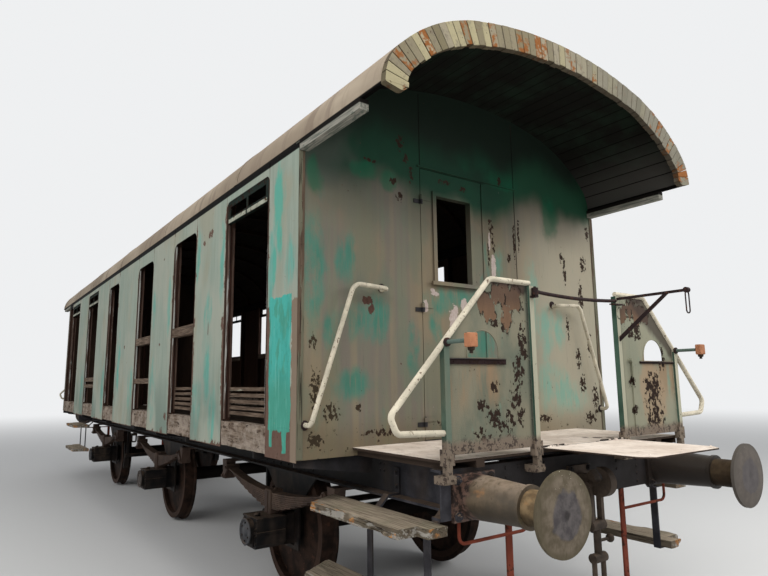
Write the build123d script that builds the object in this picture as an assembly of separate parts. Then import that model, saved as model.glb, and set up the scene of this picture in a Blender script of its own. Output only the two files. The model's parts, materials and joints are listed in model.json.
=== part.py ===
from build123d import *
import math
import os

# A three-axle passenger coach with an open platform at each end, sheet steel on a timber frame.
# X runs along the coach, the seen side is -Y, Z is up. z = 0 is where the wheel flanges stand.
# Sizes are millimetres. A name that ends in _height is measured from the rail top.

# Whole coach
flange_depth = 28
body_length = 9360
body_half_width = 1488
platform_length = 820
headstock_half_width = 1090
deck_thickness = 50
deck_plate = 14
deck_edge_inset = 36
deck_edge_angle = 8
deck_bearer = 60
floor_height = 1234
eave_height = 3145
roof_rise = 680

# Roof arch: crown, haunch and eave arcs that run into each other
roof_inset = 9
roof_thickness = 30
crown_arc_drop = 104
crown_arc_half = 800
eave_radius = 330
roof_overhang = 102
fascia_depth = 150
fascia_thickness = 45
fascia_tip_drop = 24
fascia_tip_place = 101
rib_depth = 45
rib_width = 50
rib_count = 11

# Side walls
sheet_thickness = 4
post_depth = 60
post_width = 75
post_in_opening = 25
sill_depth = 84
sill_rise = 176
cant_rail_rise = 100
skirt_drop = 13
corner_radius = 90
strip_top_height = 3130
hood_sheet = 6
hood_lip = 25
hood_slot_rise = 80
lath_rise = 26
lath_thickness = 12
eave_rail_length = 690
eave_rail_rise = 64

# End walls, doors and fixed leaves
end_wall_thickness = 50
door_left = -515
door_right = 109
doorway_right = 462
doorway_height = 3160
door_thickness = 40
door_gap = 5
latch_gap = 8
door_floor_gap = 8
door_window_left_edge = 138
door_window_width = 336
door_window_rise = 630
door_window_head = 185
door_mould_edge = 32
door_mould_proud = 12
door_sill_reach = 20
door_sill_end = 30
door_handle_height = 2105
door_handle_rise = 150
door_handle_stand = 55
door_handle_edge = 60
door_handle_radius = 8
hinge_radius = 11
hinge_pin_radius = 5
hinge_rise = 60
hinge_strap = 90
hinge_strap_thickness = 5
pin_play = 0.4

# Underframe
solebar_rise = 250
solebar_web = 12
solebar_flange_thickness = 14
solebar_outer = 926
solebar_web_outer = 848
headstock_flange = 80
headstock_web = 12
bearer_rise = 130
bearer_width = 70
bearer_after_axle = 750
bearer_before_axle = 700
bearer_from_end = 40
gusset_thickness = 12
gusset_drop = 120

# Wheels, boxes and springs
axle_spacing = 3300
tread_radius = 500
wheel_inner_face = 680
wheel_width = 130
flange_width = 32
rim_thickness = 62
web_thickness = 26
hub_radius = 125
axle_radius = 78
journal_radius = 60
journal_end = 1110
box_neck_half = 95
box_half = 135
box_foot_height = 380
box_top_height = 610
box_inner = 930
box_outer = 1170
box_corner = 36
box_cover_proud = 38
box_cover_radius = 95
guard_thickness = 16
guard_top_half = 470
guard_leg = 70
guard_foot_height = 330
spring_centre = 975
spring_width = 90
leaf_count = 9
leaf_thickness = 14
spring_half_length = 900
spring_end_height = 872
spring_sag = 95
leaf_step = 92
eye_radius = 26
buckle_half = 55
shackle_reach = 80
shackle_drop = 80
shackle_thickness = 14
bracket_thickness = 20
bracket_half = 50

# Buffers, hook and coupling
buffer_height = 1040
buffer_spacing = 1750
buffer_plate_width = 300
buffer_plate_rise = 236
buffer_plate_thickness = 20
casing_root_radius = 116
casing_end_radius = 96
casing_length = 380
casing_ring = 20
plunger_radius = 84
plunger_length = 172
buffer_head_radius = 190
buffer_head_thickness = 28
guide_plate_half = 105
guide_plate_rise = 160
guide_plate_thickness = 16
shank_rise = 68
shank_width = 60
shank_length = 78
hook_width = 56
hook_centre_out = 164
hook_radius = 84
hook_throat_radius = 27
hook_mouth = 44
coupling_pin_out = 112
coupling_pin_drop = 20
coupling_pin_radius = 17
link_width = 34
link_thickness = 26
link_length = 230
link_gap = 6
nut_radius = 30
screw_radius = 22
screw_length = 180
bow_radius = 15
bow_length = 150
bow_side_gap = 14
lever_length = 120
lever_radius = 9
lever_ball_radius = 25
handle_radius = 9
handle_inset = 20
handle_outer = 960
handle_inner = 450
handle_drop = 130
handle_bend = 40
hose_aside = 300
hose_cock_radius = 26
hose_cock_length = 70
hose_stop_aside = 170
hose_stop_length = 60
hose_stop_half = 20
hose_stop_rise = 60
hose_reach = 150
hose_drop = 260
hose_radius = 19
hose_rise = 40

# Platforms: railings, rails and gates
rail_plane = 58
post_size = 36
inner_post = 425
outer_post = 1093
railing_top_height = 2178
railing_slope_start = 750
railing_low_height = 1820
railing_sheet = 5
railing_foot_gap = 28
arch_inner = 705
arch_outer = 941
arch_foot_height = 1755
arch_side = 30
ledge_width = 40
ledge_thickness = 8
ledge_drop = 8
ledge_end = 55
post_foot_drop = 60
post_foot_half = 42
post_shoe_half = 34
post_shoe_rise = 60
post_shoe_sunk = 20
strap_place = 565
strap_width = 34
strap_thickness = 8
catch_place = 540
catch_radius = 15
catch_stand = 24
catch_rod_radius = 5
catch_rod_length = 165
handrail_radius = 16
handrail_out = 1445
handrail_hook = 40
handrail_hook_drop = 85
handrail_return_drop = 10
grab_radius = 15
grab_stand = 78
grab_top_height = 2235
grab_inner = 870
grab_bend = 1130
grab_bend_rise = 15
grab_edge_gap = 56
grab_foot_height = 1385
lamp_height = 1830
lamp_arm_length = 130
lamp_arm_rise = 32
lamp_arm_width = 12
lamp_socket = 72
outrigger_height = 2168
outrigger_reach = 470
outrigger_width = 16
outrigger_rise = 16
outrigger_brace_drop = 258
outrigger_brace_rise = 32
outrigger_brace_end = 118
outrigger_knob_radius = 17
ring_wire = 4
ring_half_width = 20
ring_rise = 130
gate_bar_radius = 11
gate_bar_height = 2140
gate_bar_sag = 14
gate_stand = 26
gate_pin_radius = 8
gate_knuckle_radius = 20
gate_knuckle_rise = 44
gate_tip_gap = 62
gate_catch_reach = 30
gate_catch_thickness = 8
fall_plate_length = 650
fall_plate_thickness = 8
fall_plate_root_half = 385
fall_plate_tip_half = 370
fall_plate_corner = 60
fall_hinge_radius = 13
fall_pin_radius = 6

# Steps
step_length = 1110
step_from_end = 15
step_thickness = 50
step_inner = 1065
step_outer = 1315
upper_step_height = 917
lower_step_height = 500
lower_step_shift = 70
step_arm_width = 50
step_arm_thickness = 12
step_corner = 130
step_corner_start = 30
step_notch = 90
step_notch_depth = 120
step_arm_knee = 30
step_arm_rise = 190
step_arm_places = (405, 935)

# Values that follow from the sizes above
crown_height = eave_height + roof_rise
half_body = body_length / 2
headstock_face = half_body + platform_length
roof_end = headstock_face + roof_overhang
deck_foot_height = floor_height - deck_thickness
solebar_foot_height = deck_foot_height - solebar_rise
wall_face = body_half_width - sheet_thickness
roof_half_width = wall_face - roof_inset
crown_radius = (crown_arc_half ** 2 + crown_arc_drop ** 2) / (2 * crown_arc_drop)
post_inner = wall_face - post_depth
cant_foot_height = eave_height - cant_rail_rise
opening_foot_height = deck_foot_height + sill_rise
flange_radius = tread_radius + flange_depth
railing_x = headstock_face + rail_plane
web_inner = solebar_web_outer - solebar_web
railing_foot_height = floor_height + railing_foot_gap
grab_outer = body_half_width - grab_edge_gap
door_window_left = door_left + door_window_left_edge
door_window_right = door_window_left + door_window_width
door_window_top_height = doorway_height - door_gap - door_window_head
door_window_foot_height = door_window_top_height - door_window_rise
axle_places = (-axle_spacing, 0, axle_spacing)


def up(height):
    """Height above the rail as z in the model."""
    return flange_depth + height


# Side openings from the near end wall on: tall sheet before it, width, top height, ventilator hood,
# lath strips, rails as (foot, top)
openings = (
    {"sheet": 430, "width": 800, "top": 3045, "hood": True, "laths": True, "rails": ()},
    {"sheet": 720, "width": 680, "top": 2975, "hood": False, "laths": True, "rails": ((2070, 2155),)},
    {"sheet": 750, "width": 670, "top": 2965, "hood": False, "laths": False,
     "rails": ((2070, 2150), (1645, 1700))},
    {"sheet": 1020, "width": 630, "top": 2960, "hood": False, "laths": False, "rails": ()},
    {"sheet": 800, "width": 800, "top": 3045, "hood": True, "laths": False,
     "rails": ((1690, 1750), (1600, 1650))},
    {"sheet": 830, "width": 800, "top": 3045, "hood": True, "laths": False, "rails": ()},
)
last_sheet = 430
hood_rise = 178
lath_heights = (1405, 1445, 1490, 1535, 1580)
window_rail = (2085, 2170)
bearer_places = (
    bearer_after_axle, axle_spacing / 2, axle_spacing - bearer_before_axle,
    axle_spacing + bearer_after_axle, half_body - bearer_from_end,
)

# What the body is longer than its table is shared by the tall sheets
table_length = sum(row["sheet"] + row["width"] for row in openings) + last_sheet
sheet_spare = (body_length - table_length) / (len(openings) + 1)
mark = 0
for row in openings:
    row["start"] = mark + row["sheet"] + sheet_spare
    mark = row["start"] + row["width"]


def place(distance):
    """X of a point given by its distance from the near end wall."""
    return half_body - distance


def block(x0, x1, y0, y1, z0, z1):
    size = Box(abs(x1 - x0), abs(y1 - y0), abs(z1 - z0))
    return Pos((x0 + x1) / 2, (y0 + y1) / 2, (z0 + z1) / 2) * size


def polygon(points):
    return make_face(Polyline(*points, close=True))


def along_x(face, x0, x1):
    """A face drawn in (y, z) pushed from x0 to x1."""
    return extrude(Plane.YZ.offset(x0) * face, amount=x1 - x0, dir=(1, 0, 0))


def along_y(face, y0, y1):
    """A face drawn in (x, z) pushed from y0 to y1, y1 above y0."""
    return extrude(Plane.XZ.offset(-y0) * face, amount=y1 - y0, dir=(0, 1, 0))


def along_z(face, z0, z1):
    return extrude(Plane.XY.offset(z0) * face, amount=z1 - z0, dir=(0, 0, 1))


def bar_along_y(x, z, radius, y0, y1):
    return Pos(x, (y0 + y1) / 2, z) * Rot(90, 0, 0) * Cylinder(radius, y1 - y0)


def bar_along_x(y, z, radius, x0, x1):
    return Pos((x0 + x1) / 2, y, z) * Rot(0, 90, 0) * Cylinder(radius, x1 - x0)


def bar_along_z(x, y, radius, z0, z1):
    return Pos(x, y, (z0 + z1) / 2) * Cylinder(radius, z1 - z0)


def pipe(points, radius, bends):
    path = FilletPolyline(*points, radius=bends)
    return sweep(Plane(origin=path @ 0, z_dir=path % 0) * Circle(radius), path=path)


def other_side(solid):
    return mirror(solid, about=Plane.XZ)


def both_sides(solids):
    return list(solids) + [other_side(solid) for solid in solids]


def turned(solids):
    """The same pieces at the other end of the coach."""
    return [Rot(0, 0, 180) * solid for solid in solids]


def both_ends(solids):
    return list(solids) + turned(solids)


def save(name, solids):
    found = []
    for solid in solids:
        found += solid.solids()
    export_step(found[0] if len(found) == 1 else Compound(found), "parts/" + name + ".step")


# The roof arch, from three radii on each side

crown_centre = crown_height - crown_radius
arc_rise = math.sqrt(crown_radius ** 2 - crown_arc_half ** 2)
crown_angle = math.degrees(math.atan2(arc_rise, crown_arc_half))
tangent = (crown_arc_half / crown_radius, arc_rise / crown_radius)
eave_centre = (roof_half_width - eave_radius, eave_height)
to_eave = (eave_centre[0] - crown_arc_half, eave_centre[1] - crown_centre - arc_rise)
haunch_radius = (
    (to_eave[0] ** 2 + to_eave[1] ** 2 - eave_radius ** 2)
    / (-2 * eave_radius - 2 * (to_eave[0] * tangent[0] + to_eave[1] * tangent[1]))
)
haunch_centre = (
    crown_arc_half - haunch_radius * tangent[0],
    crown_centre + arc_rise - haunch_radius * tangent[1],
)
haunch_angle = math.degrees(
    math.atan2(eave_centre[1] - haunch_centre[1], eave_centre[0] - haunch_centre[0])
)


def roof_arcs(inset):
    """Arcs from the +Y eave over the crown to the -Y eave, moved in by inset."""
    half = (
        (eave_centre, eave_radius, 0, haunch_angle),
        (haunch_centre, haunch_radius, haunch_angle, crown_angle),
    )
    arcs = []
    for centre, radius, start, end in half:
        right = (centre[0], up(centre[1]))
        left = (-centre[0], up(centre[1]))
        arcs.append(CenterArc(right, radius - inset, start, end - start))
        arcs.append(CenterArc(left, radius - inset, 180 - end, end - start))
    top = 180 - 2 * crown_angle
    arcs.append(CenterArc((0, up(crown_centre)), crown_radius - inset, crown_angle, top))
    return arcs


def roof_face(outer_inset, inner_inset):
    """Cross-section between two insets of the roof arch, cut off level at the eave."""
    outer = roof_half_width - outer_inset
    inner = roof_half_width - inner_inset
    z = up(eave_height)
    feet = [Line((side * outer, z), (side * inner, z)) for side in (-1, 1)]
    return Face(Wire(roof_arcs(outer_inset) + roof_arcs(inner_inset) + feet))


def under_roof_face(inset, half_width, foot):
    """Cross-section below the roof arch, with straight sides at half_width down to foot."""
    shoulder = roof_half_width - inset
    z = up(eave_height)
    lines = [Line((-half_width, foot), (half_width, foot))]
    for side in (-1, 1):
        lines.append(Line((side * half_width, foot), (side * half_width, z)))
        lines.append(Line((side * half_width, z), (side * shoulder, z)))
    return Face(Wire(roof_arcs(inset) + lines))


def roof_fascia(x0, x1):
    """Board round the roof's end with a carved foot below each eave."""
    z = up(eave_height)
    inner = roof_half_width - fascia_depth
    low = (roof_half_width - fascia_tip_place, z - fascia_tip_drop)
    tip = Face(Wire([
        Line((roof_half_width, z), low),
        ThreePointArc(low, (inner + fascia_tip_drop / 2, z - fascia_tip_drop / 2), (inner, z)),
        Line((inner, z), (roof_half_width, z)),
    ]))
    foot = along_x(tip, x0, x1)
    return along_x(roof_face(0, fascia_depth), x0, x1) + foot + other_side(foot)


# Underframe and platform decks

def platform_deck():
    """Deck plate with an edge angle on each side and bearers over the solebars."""
    end = railing_x - post_size / 2
    half = outer_post + post_size / 2 - 14
    top = up(floor_height)
    sole = up(deck_foot_height)
    under = top - deck_plate
    deck = block(half_body, end, -half, half, under, top)
    rib = deck_bearer / 2
    for y in (-solebar_web_outer, 0, solebar_web_outer):
        deck += block(half_body, end, y - rib, y + rib, sole, under)
    for side in (-1, 1):
        edge = side * (half - deck_edge_inset)
        deck += block(half_body, end, edge, edge - side * deck_edge_angle, sole, under)
    return deck


def solebar():
    """Rolled channel with its flanges outward, seen side."""
    z0 = up(solebar_foot_height)
    z1 = up(deck_foot_height)
    thick = solebar_flange_thickness
    end = headstock_face - headstock_flange
    outline = polygon((
        (-web_inner, z0), (-solebar_outer, z0), (-solebar_outer, z0 + thick),
        (-solebar_web_outer, z0 + thick), (-solebar_web_outer, z1 - thick),
        (-solebar_outer, z1 - thick), (-solebar_outer, z1), (-web_inner, z1),
    ))
    return along_x(outline, -end, end)


def headstock():
    """Channel across the end, flanges inward."""
    z0 = up(solebar_foot_height)
    z1 = up(deck_foot_height)
    thick = solebar_flange_thickness
    inner = headstock_face - headstock_flange
    web = headstock_face - headstock_web
    outline = polygon((
        (headstock_face, z0), (headstock_face, z1), (inner, z1), (inner, z1 - thick),
        (web, z1 - thick), (web, z0 + thick), (inner, z0 + thick), (inner, z0),
    ))
    return along_y(outline, -headstock_half_width, headstock_half_width)


def cross_bearer(x):
    z1 = up(deck_foot_height)
    z0 = z1 - bearer_rise
    web = solebar_web
    outline = polygon((
        (x, z0), (x + bearer_width, z0), (x + bearer_width, z0 + web), (x + web, z0 + web),
        (x + web, z1 - web), (x + bearer_width, z1 - web), (x + bearer_width, z1), (x, z1),
    ))
    return along_y(outline, -web_inner, web_inner)


def gusset(x):
    """Bracket that carries the floor edge outside the solebar."""
    z1 = up(deck_foot_height)
    low = z1 - solebar_flange_thickness
    outline = polygon((
        (-solebar_outer, z1), (-solebar_outer, low), (-solebar_outer - 20, z1 - gusset_drop),
        (-wall_face, z1 - 40), (-wall_face, z1),
    ))
    return along_x(outline, x, x + gusset_thickness)


bearers = [cross_bearer(side * x - bearer_width / 2) for x in bearer_places for side in (-1, 1)]
gussets = both_sides([gusset(side * x) for x in bearer_places for side in (-1, 1)])
guard_iron_width = 45
guard_iron_thickness = 12
guard_iron_place = 540
guard_iron_foot_height = 190
guard_iron_kick = 35


def guard_iron():
    """Flat strip that hangs from the headstock towards the rail."""
    x1 = headstock_face - headstock_flange
    top = up(solebar_foot_height)
    foot = up(guard_iron_foot_height)
    knee = foot + 180
    thick = guard_iron_thickness
    outline = polygon((
        (x1, top), (x1 + thick, top), (x1 + thick, knee), (x1 + thick + guard_iron_kick, foot),
        (x1 + guard_iron_kick, foot), (x1, knee),
    ))
    half = guard_iron_width / 2
    return along_y(outline, -guard_iron_place - half, -guard_iron_place + half)


# Wheelsets, boxes, guards and springs

def wheelset(x):
    """Axle, two discs and two tyres turned in one piece, drawn as (y, r)."""
    inner = wheel_inner_face
    outer = inner + wheel_width
    disc = inner + wheel_width / 2
    rim = tread_radius - rim_thickness
    half = (
        (0, axle_radius), (inner - 20, axle_radius), (inner - 20, hub_radius),
        (disc - web_thickness, hub_radius), (disc - web_thickness / 2, rim), (inner, rim),
        (inner, flange_radius), (inner + flange_width / 2, flange_radius),
        (inner + flange_width, tread_radius), (outer, tread_radius), (outer, rim),
        (disc + web_thickness / 2, rim), (disc + web_thickness, hub_radius), (outer, hub_radius),
        (outer, journal_radius), (journal_end, journal_radius), (journal_end, 0),
    )
    points = [(-y, r) for y, r in reversed(half)] + list(half[1:])
    outline = make_face(Polyline(*points, close=True))
    turned_solid = revolve(outline, axis=Axis.X)
    return Pos(x, 0, up(tread_radius)) * Rot(0, 0, 90) * turned_solid


def axle_box(x):
    """Cast box on the journal, with a round cover, seen side."""
    top = up(box_top_height)
    foot = up(box_foot_height)
    outline = polygon((
        (x - box_half, top), (x - box_half, foot + box_corner), (x - box_half + box_corner, foot),
        (x + box_half - box_corner, foot), (x + box_half, foot + box_corner), (x + box_half, top),
    ))
    body = along_y(outline, -box_outer, -box_inner)
    neck_end = web_inner - guard_thickness + 2
    neck = block(x - box_neck_half, x + box_neck_half, -box_inner, -neck_end, foot, top)
    cover_end = -box_outer - box_cover_proud
    cover = bar_along_y(x, up(tread_radius), box_cover_radius, cover_end, -box_outer)
    bore = bar_along_y(
        x, up(tread_radius), journal_radius + pin_play, -journal_end - 6, -neck_end
    )
    return body + neck + cover - bore


def axle_guard(x):
    """Guard plate behind the solebar, forked over the axle box, seen side."""
    top = up(deck_foot_height - 20)
    foot = up(guard_foot_height)
    shoulder = up(box_top_height + 60)
    leg_in = box_neck_half + 3
    leg_out = leg_in + guard_leg
    sole = up(solebar_foot_height)
    outline = polygon((
        (x - guard_top_half, sole), (x - guard_top_half, top), (x + guard_top_half, top),
        (x + guard_top_half, sole), (x + leg_out, shoulder), (x + leg_out, foot),
        (x - leg_out, foot), (x - leg_out, shoulder),
    ))
    plate = along_y(outline, -web_inner, -web_inner + guard_thickness)
    slot_foot = foot + 30
    slot = block(x - leg_in, x + leg_in, -web_inner, -web_inner + guard_thickness, slot_foot, shoulder)
    return plate - slot


def leaf_spring(x):
    """Stack of leaves with rolled eyes and a buckle, seen side."""
    radius = (spring_half_length ** 2 + spring_sag ** 2) / (2 * spring_sag)
    seat = up(spring_end_height - spring_sag)
    half = spring_width / 2
    stack = None
    for index in range(leaf_count):
        reach = spring_half_length - index * leaf_step
        inner = radius + index * leaf_thickness
        outer = inner + leaf_thickness
        angle = math.degrees(math.asin(reach / radius))
        centre = (x, seat + radius)
        leaf = Face(Wire([
            CenterArc(centre, inner, 270 - angle, 2 * angle),
            CenterArc(centre, outer, 270 - angle, 2 * angle),
            Line(
                (centre[0] + inner * math.cos(math.radians(270 - angle)),
                 centre[1] + inner * math.sin(math.radians(270 - angle))),
                (centre[0] + outer * math.cos(math.radians(270 - angle)),
                 centre[1] + outer * math.sin(math.radians(270 - angle))),
            ),
            Line(
                (centre[0] + inner * math.cos(math.radians(270 + angle)),
                 centre[1] + inner * math.sin(math.radians(270 + angle))),
                (centre[0] + outer * math.cos(math.radians(270 + angle)),
                 centre[1] + outer * math.sin(math.radians(270 + angle))),
            ),
        ]))
        solid = along_y(leaf, -spring_centre - half, -spring_centre + half)
        stack = solid if stack is None else stack + solid
    stack += block(
        x - buckle_half, x + buckle_half, -spring_centre - half - 12, -spring_centre + half + 12,
        up(box_top_height), seat + 20,
    )
    for side in (-1, 1):
        eye_x = x + side * spring_half_length
        stack += bar_along_y(
            eye_x, up(spring_end_height), eye_radius, -spring_centre - half, -spring_centre + half
        )
    return stack


def spring_bracket(x, side):
    """Bracket under the solebar with the shackle that pulls down on a spring eye, seen side."""
    pin_x = x + side * (spring_half_length + shackle_reach)
    pin_z = up(spring_end_height - shackle_drop)
    top = up(solebar_foot_height)
    half = spring_width / 2
    arm = along_y(
        polygon((
            (pin_x - bracket_half, top), (pin_x - 28, pin_z - 28),
            (pin_x + 28, pin_z - 28), (pin_x + bracket_half, top),
        )),
        -spring_centre - half, -spring_centre + half,
    )
    shelf = block(
        pin_x - bracket_half, pin_x + bracket_half, -spring_centre - half, -solebar_web_outer,
        top - bracket_thickness, top,
    )
    eye = (x + side * spring_half_length, up(spring_end_height))
    lean = math.degrees(math.atan2(pin_z - eye[1], pin_x - eye[0]))
    length = math.hypot(shackle_reach, shackle_drop)
    link = SlotOverall(length + 2 * eye_radius, 2 * eye_radius)
    middle = ((eye[0] + pin_x) / 2, (eye[1] + pin_z) / 2)
    face = Pos(middle[0], middle[1]) * Rot(0, 0, lean) * link
    whole = arm + shelf
    for y in (-spring_centre - half - shackle_thickness, -spring_centre + half):
        whole += along_y(face, y, y + shackle_thickness)
    return whole


# Buffers, hook, coupling and what hangs from the headstock

def buffer_casing():
    """Plate and tapered casing, seen side of the near end."""
    y = -buffer_spacing / 2
    z = up(buffer_height)
    x0 = headstock_face
    x1 = x0 + buffer_plate_thickness
    x2 = x1 + casing_length
    plate = block(
        x0, x1, y - buffer_plate_width / 2, y + buffer_plate_width / 2,
        z - buffer_plate_rise / 2, z + buffer_plate_rise / 2,
    )
    outline = make_face(Polyline(
        (x1, 0), (x1, casing_root_radius), (x2 - casing_ring, casing_end_radius),
        (x2 - casing_ring, casing_end_radius + 8), (x2, casing_end_radius + 8), (x2, 0), close=True,
    ))
    return plate + Pos(0, y, z) * revolve(outline, axis=Axis.X)


def buffer_plunger():
    """Plunger and round head with a slightly domed face."""
    y = -buffer_spacing / 2
    x0 = headstock_face + buffer_plate_thickness + casing_length
    x1 = x0 + plunger_length
    x2 = x1 + buffer_head_thickness
    outline = make_face(Polyline(
        (x0, 0), (x0, plunger_radius), (x1 - 22, plunger_radius), (x1, plunger_radius + 34),
        (x1, buffer_head_radius), (x2 - 10, buffer_head_radius), (x2, buffer_head_radius * 0.55),
        (x2, 0), close=True,
    ))
    return Pos(0, y, up(buffer_height)) * revolve(outline, axis=Axis.X)


def draw_hook():
    """Hook on its shank, with the guide plate on the headstock."""
    x0 = headstock_face
    z = up(buffer_height)
    x1 = x0 + guide_plate_thickness
    centre = x0 + hook_centre_out
    guide = block(
        x0, x1, -guide_plate_half, guide_plate_half,
        z - guide_plate_rise / 2, z + guide_plate_rise / 2,
    )
    shank = block(
        x1, x1 + shank_length, -shank_width / 2, shank_width / 2,
        z - shank_rise / 2, z + shank_rise / 2,
    )
    head = bar_along_y(centre, z, hook_radius, -hook_width / 2, hook_width / 2)
    root = block(
        x1 + shank_length, centre, -hook_width / 2, hook_width / 2,
        z - hook_radius * 0.8, z + hook_radius * 0.5,
    )
    throat_z = z + hook_throat_radius
    throat = bar_along_y(centre, throat_z, hook_throat_radius, -hook_width, hook_width)
    mouth = Pos(centre, 0, throat_z) * Rot(0, -35, 0) * block(
        -hook_mouth / 2, hook_mouth / 2, -hook_width, hook_width, 0, 3 * hook_throat_radius
    )
    return guide + shank + (head + root - throat - mouth)


def screw_coupling():
    """Two links, a screw between two nuts, its lever and the bow, hung from a pin through the hook."""
    x = headstock_face + coupling_pin_out
    top = up(buffer_height) - coupling_pin_drop
    nut_z = top - link_length
    low_nut_z = nut_z - screw_length
    half = hook_width / 2
    inner = half + link_gap
    outer = inner + link_thickness
    plate = Pos(x, (top + nut_z) / 2) * Rot(0, 0, 90) * SlotOverall(
        link_length + link_width, link_width
    )
    whole = bar_along_y(x, nut_z, nut_radius, -outer, outer)
    for side in (-1, 1):
        whole += bar_along_y(
            x, top, coupling_pin_radius, min(side * half, side * (outer + 8)),
            max(side * half, side * (outer + 8)),
        )
        whole += along_y(plate, min(side * inner, side * outer), max(side * inner, side * outer))
    whole += bar_along_z(x, 0, screw_radius, low_nut_z, nut_z)
    bow_y = half + bow_side_gap
    whole += bar_along_y(x, low_nut_z, nut_radius - 2, -bow_y - bow_radius, bow_y + bow_radius)
    foot = low_nut_z - bow_length
    bow = pipe(
        ((x, -bow_y, low_nut_z), (x, -bow_y, foot), (x, bow_y, foot), (x, bow_y, low_nut_z)),
        bow_radius, bow_radius + 8,
    )
    lever_z = (nut_z + low_nut_z) / 2
    lever = bar_along_y(x, lever_z, lever_radius, 0, lever_length)
    ball = Pos(x, lever_length, lever_z) * Sphere(lever_ball_radius)
    return whole + bow + lever + ball


def shunter_handle():
    """Bent rod under a buffer that a shunter holds."""
    x = headstock_face - handle_inset
    top = up(solebar_foot_height)
    low = top - handle_drop
    points = (
        (x, -handle_outer, top), (x, -handle_outer, low),
        (x, -handle_inner, low), (x, -handle_inner, top),
    )
    return pipe(points, handle_radius, handle_bend)


def brake_hose():
    """Air pipe cock and its hose, whose end is hooked up on the headstock."""
    x = headstock_face
    z = up(solebar_foot_height + hose_rise)
    start = x + hose_cock_length
    out = x + hose_reach
    cock = bar_along_x(-hose_aside, z, hose_cock_radius, x, start)
    stop_y = -hose_stop_aside
    stop = block(
        x, x + hose_stop_length, stop_y - hose_stop_half, stop_y + hose_stop_half,
        z - hose_rise, z - hose_rise + hose_stop_rise,
    )
    points = (
        (start, -hose_aside, z), (out, -hose_aside, z), (out, -hose_aside + 10, z - hose_drop),
        (out, stop_y - 20, z - hose_drop), (out, stop_y, z - 10), (x + hose_stop_length, stop_y, z - 10),
    )
    return cock, stop, pipe(points, hose_radius, (70, 60, 42, 60))


# Floor, decks, sills, posts and rails

def left_wall(x0, x1, y0, y1, z0, z1):
    """Block on the seen side, y0 and y1 given as distances from the middle plane."""
    return block(x0, x1, -y1, -y0, up(z0), up(z1))


def posts():
    """Timber posts: two at each opening, one in the widest panel, one at each corner."""
    marks = [end_wall_thickness, body_length - end_wall_thickness - post_width]
    for row in openings:
        marks.append(row["start"] + post_in_opening - post_width)
        marks.append(row["start"] + row["width"] - post_in_opening)
    wide = (openings[2]["start"] + openings[2]["width"] + openings[3]["start"] - post_width) / 2
    marks.append(wide)
    return [
        left_wall(place(mark + post_width), place(mark), post_inner, wall_face,
                  opening_foot_height, cant_foot_height)
        for mark in sorted(marks)
    ]


def clear_span(row):
    """X range between the posts of an opening."""
    start = row["start"] + post_in_opening
    end = row["start"] + row["width"] - post_in_opening
    return place(end), place(start)


def rails(rows):
    """Cross timbers, rows of (opening, foot, top)."""
    found = []
    for row, foot, top in rows:
        x0, x1 = clear_span(row)
        found.append(left_wall(x0, x1, post_inner, wall_face, foot, top))
    return found


def laths():
    found = []
    for row in openings:
        if row["laths"]:
            x0, x1 = clear_span(row)
            for foot in lath_heights:
                found.append(left_wall(
                    x0, x1, post_inner, post_inner + lath_thickness, foot, foot + lath_rise
                ))
    return found


def panel_spans():
    """Start and end of each tall sheet between openings, from the near end wall."""
    edges = [0]
    for row in openings:
        edges += [row["start"], row["start"] + row["width"]]
    edges.append(body_length)
    return [(edges[i], edges[i + 1]) for i in range(0, len(edges), 2)]


def tall_sheets(spans):
    foot = deck_foot_height - skirt_drop
    return [
        left_wall(place(end), place(start), wall_face, body_half_width, foot, strip_top_height)
        for start, end in spans
    ]


def opening_strip(row):
    """Sheet above an opening, rounded down into the tall sheets at both ends."""
    x0 = place(row["start"] + row["width"])
    x1 = place(row["start"])
    top = up(strip_top_height)
    head = up(row["top"])
    r = corner_radius
    if row["hood"]:
        r = corner_radius * 0.6
    outline = Face(Wire([
        Line((x0, top), (x1, top)),
        Line((x1, top), (x1, head - r)),
        CenterArc((x1 - r, head - r), r, 0, 90),
        Line((x1 - r, head), (x0 + r, head)),
        CenterArc((x0 + r, head - r), r, 90, 90),
        Line((x0, head - r), (x0, top)),
    ]))
    return along_y(outline, -body_half_width, -wall_face)


def lower_sheet(row):
    """Sheet below a window on the far side."""
    foot = deck_foot_height - skirt_drop
    x0 = place(row["start"] + row["width"])
    x1 = place(row["start"])
    return other_side(left_wall(x0, x1, wall_face, body_half_width, foot, window_rail[1]))


def hood(row):
    """Ventilator across the top of an opening: a plate with two slots and a lip."""
    x0, x1 = clear_span(row)
    top = cant_foot_height
    foot = top - hood_rise
    plate = left_wall(x0, x1, wall_face - hood_sheet, wall_face, foot, top)
    lip = left_wall(x0, x1, wall_face - hood_lip, wall_face, foot, foot + hood_sheet)
    slot_length = (x1 - x0) / 2 - 60
    middle = (x0 + x1) / 2
    foot_of_slot = foot + 50
    for side in (-1, 1):
        x = middle + side * (slot_length / 2 + 15)
        plate -= left_wall(
            x - slot_length / 2, x + slot_length / 2, wall_face - hood_sheet, wall_face,
            foot_of_slot, foot_of_slot + hood_slot_rise,
        )
    return plate + lip


# End walls and doors, near end

wall_inner_x = half_body - end_wall_thickness
whole_end_wall = along_x(
    under_roof_face(roof_thickness, wall_face, up(deck_foot_height)), wall_inner_x, half_body
)
doorway_left = door_left - door_gap


def end_wall_panel(y0, y1, z0):
    return whole_end_wall & block(wall_inner_x, half_body, y0, y1, z0, up(crown_height))


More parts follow.
